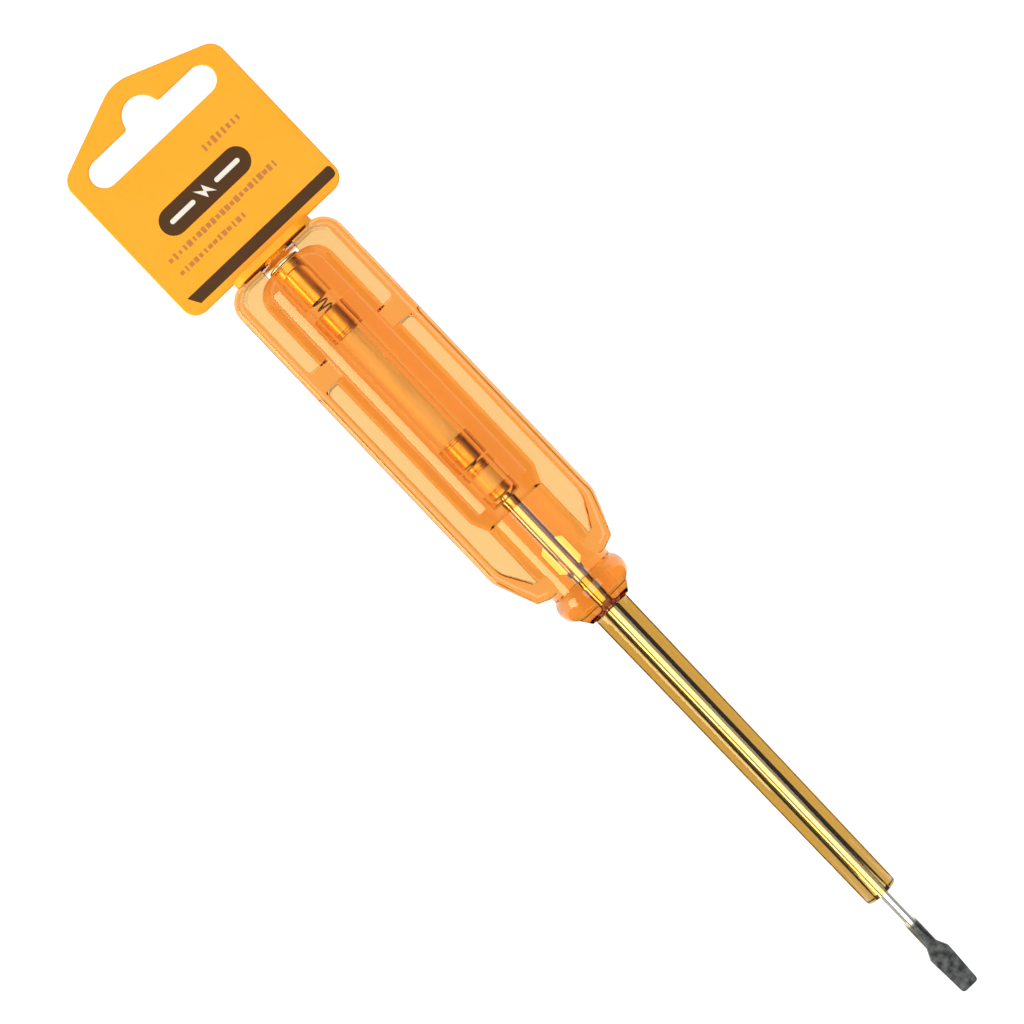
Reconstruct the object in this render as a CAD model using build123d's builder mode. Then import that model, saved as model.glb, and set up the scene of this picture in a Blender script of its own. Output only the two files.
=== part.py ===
"""Neon voltage tester screwdriver: a clear amber handle with a finger guard, a sleeved steel
blade, a neon lamp and series resistor in the handle's bore, a screwed-in touch contact with
its spring, and a moulded hang tag that plugs into the handle's butt.

Millimetres. The tool lies on a flat of its handle: +X runs from the tag to the blade's tip,
+Y across the tool, +Z up, with Z = 0 on the ground and X = 0 at the middle of the whole
length. Stations along the tool are measured from the handle's butt face.
"""

import os

from build123d import *

# ---------------------------------------------------------------- driving dimensions
TOOL_LENGTH = 195.6  # butt face to blade tip
TAG_REACH = 45.6  # how far the tag stands behind the butt face
FLAT_HEIGHT = 8.2  # half height of the handle over its two flats
BUTT_X = (TAG_REACH - TOOL_LENGTH) / 2
AXIS_Z = FLAT_HEIGHT  # the tool's axis, with the tool resting on one flat

# ---------------------------------------------------------------- handle
HANDLE_HALF_WIDTH = 13.4
FLANGE_HALF_HEIGHT = 5.4
FLANGE_EDGE_RADIUS = 1.6
BUTT_CORNER_RADIUS = 4.8
SHOULDER_START, SHOULDER_END = 75.2, 84.0
SHOULDER_HALF_WIDTH = 9.8
SHOULDER_BEND_RADIUS = 6.0
SHOULDER_CORNER_RADIUS = 1.0
FLANGE_FRONT, FLANGE_FRONT_RADIUS = 85.0, 0.2
PARTING_WIDTH, PARTING_HEIGHT, PARTING_START = 0.2, 0.08, 0.5

WEB_HALF_HEIGHT = 1.5  # thin floor of the pockets beside the core
RIM_WIDTH = 2.3  # side wall outside the pockets
BUTT_WALL = 1.0  # wall behind the pockets
POCKET_CORNER_RADIUS = 3.6
POCKET_BEND, POCKET_TIP = 74.4, 80.8
POCKET_TIP_HALF_WIDTH = 7.3
POCKET_TIP_RADIUS = 1.0
POCKET_EDGE_CHAMFER = 0.3
RIB_START, RIB_END = 21.6, 26.2  # cross rib between the rear and the front pocket
RIB_BLEND_RADIUS = 1.0

CORE_RADIUS = 8.7
CORE_START = 2.7
CORE_END_RADIUS = 4.3  # rounding of the core's end, round the touch contact
CORE_STEP_START, CORE_STEP_END = 63.7, 67.4
NECK_RADIUS = 7.2
GUARD_STATION = 88.8
GUARD_RADIUS = FLAT_HEIGHT
GUARD_BEAD_RADIUS = 3.7
NOSE_START, NOSE_START_RADIUS = 92.2, 6.2
NOSE_END, NOSE_END_RADIUS = 94.2, 4.7

BUTT_HOLE_RADIUS = 4.3
THREAD_BORE_RADIUS = 2.55
THREAD_BORE_END = 5.1
CHAMBER_RADIUS = 2.7
CHAMBER_END = 65.6
SLEEVE_SOCKET_START = 86.0
SLEEVE_SOCKET_RADIUS = 3.25

# ---------------------------------------------------------------- blade and its sleeve
SHAFT_RADIUS = 1.3
TAIL_START = 64.0
TAIL_CHAMFER = 0.3
WING_START, WING_END, WING_TAPER = 76.8, 83.6, 0.8
WING_HALF_WIDTH, WING_HALF_THICKNESS = 2.0, 0.75
FLARE_START, FLARE_END = 184.6, 186.8
FLARE_HALF_WIDTH = 2.35
TIP_HALF_WIDTH, TIP_HALF_THICKNESS = 1.95, 0.35
GRIND_START, GRIND_MIDDLE = 181.0, 190.0
GRIND_MIDDLE_HALF_THICKNESS = 0.6
TIP_CORNER_RADIUS = 0.8

SLEEVE_GAP = 0.05  # radial gap of the sleeve round the shaft and in its socket
SLEEVE_END = 170.6
SLEEVE_ROOT_RADIUS, SLEEVE_END_RADIUS = 3.95, 3.55
SLEEVE_LIP_RADIUS = 0.5

# ---------------------------------------------------------------- touch contact
HEAD_RADIUS, HEAD_CROWN, HEAD_RIM = 3.5, 0.6, 0.4
WASHER_THICKNESS = 0.3
WASHER_RADIUS = 3.4
WASHER_HOLE_RADIUS = 2.6
HEAD_SEAT = CORE_START - WASHER_THICKNESS
HEAD_START = HEAD_SEAT - HEAD_RIM - HEAD_CROWN
HEAD_SLOT_WIDTH, HEAD_SLOT_DEPTH = 0.9, 0.6
THREAD_RADIUS = 2.5
THREAD_END = 5.0
SHANK_RADIUS = 2.3
SHANK_END = 12.3
SPRING_SEAT_RADIUS, SPRING_SEAT = 1.75, 9.3

SPRING_MEAN_RADIUS = 1.45
SPRING_WIRE_RADIUS = 0.18
SPRING_TURNS = 4
END_GAP = 0.02  # between touching pieces that can part

# ---------------------------------------------------------------- lamp
LAMP_START, LAMP_END = 14.9, 55.6
LAMP_CAP_RADIUS = 2.5
LAMP_CAP_WALL = 0.25
LAMP_CAP_LENGTH = 5.95
LAMP_CAP_FLOOR = 0.5
SOLDER_RADIUS = 0.85
SOLDER_HEIGHT = 0.3
SOLDER_TAPER = 35.0
CEMENT_THICKNESS = 0.15
GLASS_RADIUS = LAMP_CAP_RADIUS - LAMP_CAP_WALL - CEMENT_THICKNESS
GLASS_WALL = 0.4
GLASS_END_RADIUS = 0.4
STEM_LENGTH = 3.4
ELECTRODE_OFFSET = 0.62  # each electrode stands this far to its side of the axis
ELECTRODE_RADIUS = 0.42
ELECTRODE_LENGTH = 17.5
ELECTRODE_EDGE_RADIUS = 0.1
LEAD_RADIUS = 0.16
LEAD_REACH = 1.4  # bare lead between a stem and its electrode

# ---------------------------------------------------------------- resistor
RESISTOR_START = LAMP_END + SOLDER_HEIGHT
RESISTOR_END = TAIL_START - END_GAP
RESISTOR_CAP_RADIUS = 2.35
RESISTOR_CORE_RADIUS = 2.1
RESISTOR_CAP_LENGTH = 2.0
RESISTOR_CAP_FLOOR = 0.4
RESISTOR_CAP_EDGE = 0.2

# ---------------------------------------------------------------- hang tag
TAG_HALF_WIDTH = 20.3
TAG_HALF_THICKNESS = 0.6
TAG_EDGE_RADIUS = 0.3
TAG_SHOULDER = 38.4  # where the slanted edges start, behind the butt
TAG_APEX = 46.27  # where the slanted edges would meet
TAG_APEX_RADIUS = 8.9
TAG_SHOULDER_RADIUS = 3.6
TAG_FOOT_RADIUS = 3.2
COLLAR_THICKNESS = 1.5
COLLAR_WIDTH, COLLAR_HEIGHT = 19.6, 10.4
COLLAR_CORNER_RADIUS = 4.0
SPIGOT_RADIUS = BUTT_HOLE_RADIUS - 0.05
SPIGOT_BORE_RADIUS = 3.75
SPIGOT_LENGTH = 0.9
HANG_SLOT_STATION = -34.6  # European hang hole: a 32 x 6 slot with a round notch
HANG_SLOT_LENGTH, HANG_SLOT_WIDTH = 32.0, 6.0
HANG_NOTCH_RADIUS = 4.0
HANG_NOTCH_BLEND_RADIUS = 0.9


def at(station):
    """X of a station along the tool."""
    return BUTT_X + station


def on_axis(station, y_offset=0.0):
    """Plane square to the tool's axis at a station, facing the tip."""
    return Plane((at(station), y_offset, AXIS_Z), x_dir=(0, 1, 0), z_dir=(1, 0, 0))


TOOL_AXIS = Axis((0, 0, AXIS_Z), (1, 0, 0))
HALF_SECTION = Plane((BUTT_X, 0, AXIS_Z), x_dir=(1, 0, 0), z_dir=(0, -1, 0))
PLAN = Plane((BUTT_X, 0, AXIS_Z), x_dir=(1, 0, 0), z_dir=(0, 0, 1))


def save(builder, name):
    """Labels a finished piece, writes its STEP file and reports it."""
    builder.part.label = name
    export_step(builder.part, f"parts/{name}.step")
    print(f"{name:22s} {len(builder.part.solids())} solid  {builder.part.volume:9.2f} mm3")


os.makedirs("parts", exist_ok=True)

# ================================================================ blade
with BuildPart() as blade:
    with BuildSketch(HALF_SECTION):
        with BuildLine():
            Polyline(
                (TAIL_START, 0),
                (TAIL_START, SHAFT_RADIUS - TAIL_CHAMFER),
                (TAIL_START + TAIL_CHAMFER, SHAFT_RADIUS),
                (FLARE_END, SHAFT_RADIUS),
                (FLARE_END, 0),
                close=True,
            )
        make_face()
    revolve(axis=TOOL_AXIS)
    # forged ears that lock the blade in the handle
    with BuildSketch(PLAN.offset(-WING_HALF_THICKNESS)):
        with BuildLine():
            Polyline(
                (WING_START, 0),
                (WING_START, SHAFT_RADIUS),
                (WING_START + WING_TAPER, WING_HALF_WIDTH),
                (WING_END - WING_TAPER, WING_HALF_WIDTH),
                (WING_END, SHAFT_RADIUS),
                (WING_END, 0),
                close=True,
            )
        make_face()
        mirror(about=Plane.XZ)
    extrude(amount=2 * WING_HALF_THICKNESS)
    # forged tip, spread wider than the shaft
    with BuildSketch(PLAN.offset(-SHAFT_RADIUS)):
        with BuildLine():
            Polyline(
                (FLARE_START, 0),
                (FLARE_START, SHAFT_RADIUS),
                (FLARE_END, FLARE_HALF_WIDTH),
                (TOOL_LENGTH, TIP_HALF_WIDTH),
                (TOOL_LENGTH, 0),
                close=True,
            )
        make_face()
        mirror(about=Plane.XZ)
    extrude(amount=2 * SHAFT_RADIUS)
    # two hollow-ground faces that thin the tip towards its edge
    with BuildSketch(HALF_SECTION):
        with BuildLine():
            ThreePointArc(
                (GRIND_START, SHAFT_RADIUS),
                (GRIND_MIDDLE, GRIND_MIDDLE_HALF_THICKNESS),
                (TOOL_LENGTH, TIP_HALF_THICKNESS),
            )
            Polyline(
                (TOOL_LENGTH, TIP_HALF_THICKNESS),
                (TOOL_LENGTH, 2 * SHAFT_RADIUS),
                (GRIND_START, 2 * SHAFT_RADIUS),
                (GRIND_START, SHAFT_RADIUS),
            )
        make_face()
        mirror(about=Plane.XZ)
    extrude(amount=2 * FLARE_HALF_WIDTH, both=True, mode=Mode.SUBTRACT)
    tip_corners = blade.edges().filter_by(Axis.Z).group_by(Axis.X)[-1]
    fillet(tip_corners, TIP_CORNER_RADIUS)
save(blade, "blade")

# ================================================================ blade sleeve
with BuildPart() as blade_sleeve:
    with BuildSketch(HALF_SECTION):
        with BuildLine():
            Polyline(
                (SLEEVE_SOCKET_START, SHAFT_RADIUS + SLEEVE_GAP),
                (SLEEVE_SOCKET_START, SLEEVE_SOCKET_RADIUS - SLEEVE_GAP),
                (NOSE_END, SLEEVE_SOCKET_RADIUS - SLEEVE_GAP),
                (NOSE_END, SLEEVE_ROOT_RADIUS),
                (SLEEVE_END, SLEEVE_END_RADIUS),
                (SLEEVE_END, SHAFT_RADIUS + SLEEVE_GAP),
                close=True,
            )
        make_face()
    revolve(axis=TOOL_AXIS)
    front_edges = blade_sleeve.edges().filter_by(GeomType.CIRCLE).group_by(Axis.X)[-1]
    fillet(front_edges.sort_by(SortBy.RADIUS)[-1], SLEEVE_LIP_RADIUS)
save(blade_sleeve, "blade_sleeve")

# ================================================================ handle
with BuildPart() as handle:
    # flange that gives the handle its outline in plan
    with BuildSketch(PLAN.offset(-FLANGE_HALF_HEIGHT)) as flange_outline:
        with BuildLine():
            FilletPolyline(
                (0, 0),
                (0, HANDLE_HALF_WIDTH),
                (SHOULDER_START, HANDLE_HALF_WIDTH),
                (SHOULDER_END, SHOULDER_HALF_WIDTH),
                (FLANGE_FRONT, NECK_RADIUS),
                (FLANGE_FRONT, 0),
                radius=[
                    BUTT_CORNER_RADIUS,
                    SHOULDER_BEND_RADIUS,
                    SHOULDER_CORNER_RADIUS,
                    FLANGE_FRONT_RADIUS,
                ],
            )
            Line((FLANGE_FRONT, 0), (0, 0))
        make_face()
        mirror(about=Plane.XZ)
    extrude(amount=2 * FLANGE_HALF_HEIGHT)
    fillet(handle.faces().filter_by(Axis.Z).edges(), FLANGE_EDGE_RADIUS)
    # low ridge where the mould's halves meet, left off the butt face
    with BuildSketch(PLAN.offset(-PARTING_WIDTH / 2)):
        add(flange_outline.sketch_local)
        offset(amount=PARTING_HEIGHT)
        with Locations((0, 0)):
            Rectangle(2 * PARTING_START, 3 * HANDLE_HALF_WIDTH, mode=Mode.SUBTRACT)
    extrude(amount=PARTING_WIDTH)

    # pockets sunk into both faces, down to a thin web, with a cross rib left standing
    pocket_half_width = HANDLE_HALF_WIDTH - RIM_WIDTH
    with BuildSketch(PLAN.offset(WEB_HALF_HEIGHT)) as pocket_outline:
        with BuildLine():
            FilletPolyline(
                (BUTT_WALL, 0),
                (BUTT_WALL, pocket_half_width),
                (POCKET_BEND, pocket_half_width),
                (POCKET_TIP, POCKET_TIP_HALF_WIDTH),
                (POCKET_TIP, 0),
                radius=[POCKET_CORNER_RADIUS, SHOULDER_BEND_RADIUS, POCKET_TIP_RADIUS],
            )
            Line((POCKET_TIP, 0), (BUTT_WALL, 0))
        make_face()
        mirror(about=Plane.XZ)
        with Locations(((RIB_START + RIB_END) / 2, 0)):
            Rectangle(RIB_END - RIB_START, 3 * HANDLE_HALF_WIDTH, mode=Mode.SUBTRACT)
        rib_corners = vertices().filter_by_position(Axis.X, RIB_START - 0.1, RIB_END + 0.1)
        fillet(rib_corners, RIB_BLEND_RADIUS)
    extrude(amount=FLANGE_HALF_HEIGHT, mode=Mode.SUBTRACT)
    with BuildSketch(PLAN.offset(-WEB_HALF_HEIGHT)):
        add(pocket_outline.sketch_local)
    extrude(amount=-FLANGE_HALF_HEIGHT, mode=Mode.SUBTRACT)
    level_faces = handle.faces().filter_by(Axis.Z).sort_by(Axis.Z)
    for level_face in (level_faces[0], level_faces[-1]):
        for pocket_rim in level_face.inner_wires():
            chamfer(pocket_rim.edges(), POCKET_EDGE_CHAMFER)

    # mouth of the butt, which the tag's spigot plugs and a finger reaches through
    with BuildSketch(on_axis(0)):
        Circle(BUTT_HOLE_RADIUS)
    extrude(amount=CORE_START, mode=Mode.SUBTRACT)

    # round core, neck, finger guard and nose
    with BuildSketch(HALF_SECTION):
        with BuildLine():
            Line((CORE_START, 0), (CORE_START, CORE_RADIUS - CORE_END_RADIUS))
            RadiusArc(
                (CORE_START, CORE_RADIUS - CORE_END_RADIUS),
                (CORE_START + CORE_END_RADIUS, CORE_RADIUS),
                CORE_END_RADIUS,
            )
            Polyline(
                (CORE_START + CORE_END_RADIUS, CORE_RADIUS),
                (CORE_STEP_START, CORE_RADIUS),
                (CORE_STEP_END, NECK_RADIUS),
                (GUARD_STATION, NECK_RADIUS),
                (NOSE_START, NOSE_START_RADIUS),
                (NOSE_END, NOSE_END_RADIUS),
                (NOSE_END, 0),
                (CORE_START, 0),
            )
        make_face()
    revolve(axis=TOOL_AXIS)
    with BuildSketch(HALF_SECTION):
        with Locations((GUARD_STATION, GUARD_RADIUS - GUARD_BEAD_RADIUS)):
            Circle(GUARD_BEAD_RADIUS)
    revolve(axis=TOOL_AXIS)

    # bore: thread, chamber for the lamp and the resistor, and the socket of the sleeve
    with BuildSketch(HALF_SECTION):
        with BuildLine():
            Polyline(
                (CORE_START, 0),
                (CORE_START, THREAD_BORE_RADIUS),
                (THREAD_BORE_END, THREAD_BORE_RADIUS),
                (THREAD_BORE_END, CHAMBER_RADIUS),
                (CHAMBER_END, CHAMBER_RADIUS),
                (CHAMBER_END, 0),
                close=True,
            )
        make_face()
    revolve(axis=TOOL_AXIS, mode=Mode.SUBTRACT)
    with BuildSketch(on_axis(SLEEVE_SOCKET_START)):
        Circle(SLEEVE_SOCKET_RADIUS)
    extrude(until=Until.LAST, mode=Mode.SUBTRACT)
    add(blade.part, mode=Mode.SUBTRACT)

    # the two flats that the tool lies on
    split(bisect_by=PLAN.offset(FLAT_HEIGHT), keep=Keep.BOTTOM)
    split(bisect_by=PLAN.offset(-FLAT_HEIGHT), keep=Keep.TOP)
save(handle, "handle")

# ================================================================ touch contact
with BuildPart() as contact_button:
    with BuildSketch(HALF_SECTION):
        with BuildLine():
            ThreePointArc(
                (HEAD_START, 0),
                (HEAD_START + HEAD_CROWN / 4, HEAD_RADIUS / 2),
                (HEAD_START + HEAD_CROWN, HEAD_RADIUS),
            )
            Polyline(
                (HEAD_START + HEAD_CROWN, HEAD_RADIUS),
                (HEAD_SEAT, HEAD_RADIUS),
                (HEAD_SEAT, THREAD_RADIUS),
                (THREAD_END, THREAD_RADIUS),
                (THREAD_END, SHANK_RADIUS),
                (SHANK_END, SHANK_RADIUS),
                (SHANK_END, SPRING_SEAT_RADIUS),
                (SPRING_SEAT, SPRING_SEAT_RADIUS),
                (SPRING_SEAT, 0),
                (HEAD_START, 0),
            )
        make_face()
    revolve(axis=TOOL_AXIS)
    with BuildSketch(on_axis(HEAD_START)):
        Rectangle(2 * HEAD_RADIUS, HEAD_SLOT_WIDTH)
    extrude(amount=HEAD_SLOT_DEPTH, mode=Mode.SUBTRACT)
save(contact_button, "contact_button")

with BuildPart() as contact_washer:
    with BuildSketch(on_axis(HEAD_SEAT)):
        Circle(WASHER_RADIUS)
        Circle(WASHER_HOLE_RADIUS, mode=Mode.SUBTRACT)
    extrude(amount=WASHER_THICKNESS)
save(contact_washer, "contact_washer")

wire_start = SPRING_SEAT + SPRING_WIRE_RADIUS + END_GAP
wire_end = LAMP_START - SPRING_WIRE_RADIUS - END_GAP
with BuildPart() as contact_spring:
    with BuildLine() as coil:
        Helix(
            pitch=(wire_end - wire_start) / SPRING_TURNS,
            height=wire_end - wire_start,
            radius=SPRING_MEAN_RADIUS,
            center=(at(wire_start), 0, AXIS_Z),
            direction=(1, 0, 0),
        )
    with BuildSketch(Plane(origin=coil.line @ 0, z_dir=coil.line % 0)):
        Circle(SPRING_WIRE_RADIUS)
    sweep(is_frenet=True)
save(contact_spring, "contact_spring")

# ================================================================ lamp
cap_floor = LAMP_START + LAMP_CAP_FLOOR
cap_mouth = LAMP_START + LAMP_CAP_LENGTH
electrode_start = cap_floor + STEM_LENGTH + LEAD_REACH
HALF_TURN = Axis((at((LAMP_START + LAMP_END) / 2), 0, AXIS_Z), (0, 0, 1))


def save_both_ends(builder, name):
    """Writes a piece of the lamp's rear end, then the same piece at its front end."""
    save(builder, f"{name}_rear")
    with BuildPart() as front:
        add(builder.part.rotate(HALF_TURN, 180))
    save(front, f"{name}_front")


with BuildPart() as lamp_glass:
    with BuildSketch(on_axis(cap_floor)):
        Circle(GLASS_RADIUS)
    extrude(amount=LAMP_END - LAMP_CAP_FLOOR - cap_floor)
    fillet(lamp_glass.edges(), GLASS_END_RADIUS)
    with BuildSketch(on_axis(cap_floor + STEM_LENGTH)):
        Circle(GLASS_RADIUS - GLASS_WALL)
    extrude(amount=LAMP_END - LAMP_START - 2 * (LAMP_CAP_FLOOR + STEM_LENGTH), mode=Mode.SUBTRACT)
    for end, side in ((cap_floor, 1), (LAMP_END - LAMP_CAP_FLOOR - STEM_LENGTH, -1)):
        with BuildSketch(on_axis(end)):
            with Locations((side * ELECTRODE_OFFSET, 0)):
                Circle(LEAD_RADIUS)
        extrude(amount=STEM_LENGTH, mode=Mode.SUBTRACT)
save(lamp_glass, "lamp_glass")

with BuildPart() as lamp_cap:
    with BuildSketch(on_axis(LAMP_START)):
        Circle(LAMP_CAP_RADIUS)
    extrude(amount=LAMP_CAP_LENGTH)
    fillet(lamp_cap.edges().group_by(Axis.X)[0], LAMP_CAP_WALL)
    with BuildSketch(on_axis(cap_floor)):
        Circle(LAMP_CAP_RADIUS - LAMP_CAP_WALL)
    extrude(amount=LAMP_CAP_LENGTH, mode=Mode.SUBTRACT)
    with BuildSketch(on_axis(LAMP_START)):
        with Locations((ELECTRODE_OFFSET, 0)):
            Circle(LEAD_RADIUS)
    extrude(amount=LAMP_CAP_FLOOR, mode=Mode.SUBTRACT)
save_both_ends(lamp_cap, "lamp_cap")

with BuildPart() as lamp_cement:
    with BuildSketch(on_axis(cap_floor + GLASS_END_RADIUS)):
        Circle(GLASS_RADIUS + CEMENT_THICKNESS)
        Circle(GLASS_RADIUS, mode=Mode.SUBTRACT)
    extrude(amount=LAMP_CAP_LENGTH - LAMP_CAP_FLOOR - GLASS_END_RADIUS)
save_both_ends(lamp_cement, "lamp_cement")

with BuildPart() as lamp_solder:
    with BuildSketch(on_axis(LAMP_START)):
        Circle(SOLDER_RADIUS)
    extrude(amount=-SOLDER_HEIGHT, taper=SOLDER_TAPER)
save_both_ends(lamp_solder, "lamp_solder")

with BuildPart() as lamp_lead:
    with BuildSketch(on_axis(LAMP_START, ELECTRODE_OFFSET)):
        Circle(LEAD_RADIUS)
    extrude(amount=electrode_start - LAMP_START)
save_both_ends(lamp_lead, "lamp_lead")

with BuildPart() as lamp_electrode:
    with BuildSketch(on_axis(electrode_start, ELECTRODE_OFFSET)):
        Circle(ELECTRODE_RADIUS)
    extrude(amount=ELECTRODE_LENGTH)
    fillet(lamp_electrode.edges(), ELECTRODE_EDGE_RADIUS)
save_both_ends(lamp_electrode, "lamp_electrode")

# ================================================================ resistor
with BuildPart() as resistor_core:
    with BuildSketch(on_axis(RESISTOR_START + RESISTOR_CAP_FLOOR)):
        Circle(RESISTOR_CORE_RADIUS)
    extrude(amount=RESISTOR_END - RESISTOR_START - 2 * RESISTOR_CAP_FLOOR)
save(resistor_core, "resistor_core")

for name, floor, way in (
    ("resistor_cap_rear", RESISTOR_START, 1),
    ("resistor_cap_front", RESISTOR_END, -1),
):
    with BuildPart() as resistor_cap:
        with BuildSketch(on_axis(floor)):
            Circle(RESISTOR_CAP_RADIUS)
        extrude(amount=way * RESISTOR_CAP_LENGTH)
        fillet(resistor_cap.edges().filter_by_position(Axis.X, at(floor), at(floor)), RESISTOR_CAP_EDGE)
        with BuildSketch(on_axis(floor + way * RESISTOR_CAP_FLOOR)):
            Circle(RESISTOR_CORE_RADIUS)
        extrude(amount=way * RESISTOR_CAP_LENGTH, mode=Mode.SUBTRACT)
    save(resistor_cap, name)

# ================================================================ hang tag
with BuildPart() as hang_tag:
    with BuildSketch(PLAN.offset(-TAG_HALF_THICKNESS)):
        with BuildLine():
            FilletPolyline(
                (-COLLAR_THICKNESS, -TAG_HALF_WIDTH),
                (-COLLAR_THICKNESS, TAG_HALF_WIDTH),
                (-TAG_SHOULDER, TAG_HALF_WIDTH),
                (-TAG_APEX, 0),
                (-TAG_SHOULDER, -TAG_HALF_WIDTH),
                radius=[
                    TAG_FOOT_RADIUS,
                    TAG_FOOT_RADIUS,
                    TAG_SHOULDER_RADIUS,
                    TAG_APEX_RADIUS,
                    TAG_SHOULDER_RADIUS,
                ],
                close=True,
            )
        make_face()
        with BuildSketch(mode=Mode.SUBTRACT):
            with Locations((HANG_SLOT_STATION, 0)):
                SlotOverall(HANG_SLOT_LENGTH, HANG_SLOT_WIDTH, rotation=90)
            with Locations((HANG_SLOT_STATION - HANG_SLOT_WIDTH / 2, 0)):
                Circle(HANG_NOTCH_RADIUS)
            notch_corners = vertices().sort_by(lambda corner: abs(corner.Y))[0:2]
            fillet(notch_corners, HANG_NOTCH_BLEND_RADIUS)
    extrude(amount=2 * TAG_HALF_THICKNESS)
    fillet(hang_tag.faces().filter_by(Axis.Z).edges(), TAG_EDGE_RADIUS)
    # collar against the butt face, and the ring that plugs into the butt's mouth
    with BuildSketch(on_axis(-COLLAR_THICKNESS)):
        RectangleRounded(COLLAR_WIDTH, COLLAR_HEIGHT, COLLAR_CORNER_RADIUS)
        Circle(SPIGOT_BORE_RADIUS, mode=Mode.SUBTRACT)
    extrude(amount=COLLAR_THICKNESS)
    with BuildSketch(on_axis(0)):
        Circle(SPIGOT_RADIUS)
        Circle(SPIGOT_BORE_RADIUS, mode=Mode.SUBTRACT)
    extrude(amount=SPIGOT_LENGTH)
save(hang_tag, "hang_tag")
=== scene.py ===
"""Looks of the neon voltage tester screwdriver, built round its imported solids.

Everything is in metres in the tool's own frame: +X from the hang tag to the blade's tip, +Z up,
the ground at Z = 0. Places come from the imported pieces' boxes, and sizes are named in millimetres.
"""

from __future__ import annotations

import logging
import math
from dataclasses import dataclass
from enum import Enum
from typing import Callable, ClassVar, Iterable, Sequence

import bmesh
import bpy
from mathutils import Matrix, Vector

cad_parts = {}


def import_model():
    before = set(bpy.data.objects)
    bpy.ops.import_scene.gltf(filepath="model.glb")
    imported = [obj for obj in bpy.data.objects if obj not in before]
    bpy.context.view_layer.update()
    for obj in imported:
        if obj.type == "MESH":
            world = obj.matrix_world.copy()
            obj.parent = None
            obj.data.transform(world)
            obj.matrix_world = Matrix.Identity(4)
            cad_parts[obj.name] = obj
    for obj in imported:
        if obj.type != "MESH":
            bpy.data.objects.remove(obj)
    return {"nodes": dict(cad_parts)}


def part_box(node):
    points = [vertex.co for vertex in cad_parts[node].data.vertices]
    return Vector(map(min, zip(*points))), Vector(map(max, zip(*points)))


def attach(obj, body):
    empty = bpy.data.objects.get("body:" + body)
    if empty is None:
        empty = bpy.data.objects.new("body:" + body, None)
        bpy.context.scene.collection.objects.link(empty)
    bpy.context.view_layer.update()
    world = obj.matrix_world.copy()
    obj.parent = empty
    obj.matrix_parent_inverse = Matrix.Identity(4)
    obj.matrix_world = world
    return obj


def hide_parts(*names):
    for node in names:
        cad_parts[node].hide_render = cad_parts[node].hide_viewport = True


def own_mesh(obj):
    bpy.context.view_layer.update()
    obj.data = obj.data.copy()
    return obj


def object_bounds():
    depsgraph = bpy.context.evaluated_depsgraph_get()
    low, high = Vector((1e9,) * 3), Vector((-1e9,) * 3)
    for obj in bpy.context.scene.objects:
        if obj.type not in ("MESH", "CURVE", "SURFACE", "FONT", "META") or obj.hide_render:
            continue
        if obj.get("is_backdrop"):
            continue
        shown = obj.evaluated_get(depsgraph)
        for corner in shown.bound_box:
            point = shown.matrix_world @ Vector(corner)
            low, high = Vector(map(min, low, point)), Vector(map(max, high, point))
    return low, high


LOG = logging.getLogger("voltage_tester")
MM = 0.001
SMOOTH_ANGLE = math.radians(28)
EXACT_NORMAL = "exact_normal"  # corner attribute that carries normals through a weld
WELD_DISTANCE = 0.0005 * MM
LEAST_FACING = 0.1  # a noted normal that faces its face less than this is replaced
FILLET_SHARE = 0.49  # most of a side that one fillet may take up
ON_AXIS = 1e-7  # a radius below this is a point on the axis
NOISE_RANGE = (0.3, 0.7)  # nearly all of a noise texture's values lie between these

Socket = bpy.types.NodeSocket
Colour = tuple[float, float, float, float]


class Body(Enum):
    """The rigid bodies that pieces ride on."""

    GRIP = "grip"
    TAG = "tag"
    CARRIAGE = "contact_carriage"
    CONTACT = "touch_contact"
    CARTRIDGE = "lamp_cartridge"


# ---------------------------------------------------------------- colours and node trees
def linear(hex_colour: str, alpha: float = 1.0) -> Colour:
    """Turns an sRGB hex colour into a linear one.

    Args:
        hex_colour: Six hex digits, with or without a leading hash.
        alpha: Alpha to carry along.

    Returns:
        Linear red, green, blue and alpha.
    """
    digits = hex_colour.lstrip("#")
    channels = [int(digits[i : i + 2], 16) / 255 for i in (0, 2, 4)]
    red, green, blue = (c / 12.92 if c <= 0.04045 else ((c + 0.055) / 1.055) ** 2.4 for c in channels)
    return red, green, blue, alpha


def add_node(
    tree: bpy.types.NodeTree, kind: str, inputs: dict[str | int, object] | None = None, **settings: object
) -> bpy.types.Node:
    """Adds a node with its settings, its input values and its links.

    Args:
        tree: Tree that takes the node.
        kind: The node's type name.
        inputs: Value or source socket for each input, by name or index.
        settings: Properties of the node itself.

    Returns:
        The new node.
    """
    node = tree.nodes.new(kind)
    for name, value in settings.items():
        setattr(node, name, value)
    for key, value in (inputs or {}).items():
        if isinstance(value, Socket):
            tree.links.new(value, node.inputs[key])
        else:
            node.inputs[key].default_value = value
    return node


def per_metre(feature_mm: float) -> float:
    """Texture scale that gives features of this size on Object coordinates in metres."""
    return 1.0 / (feature_mm * MM)


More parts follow.
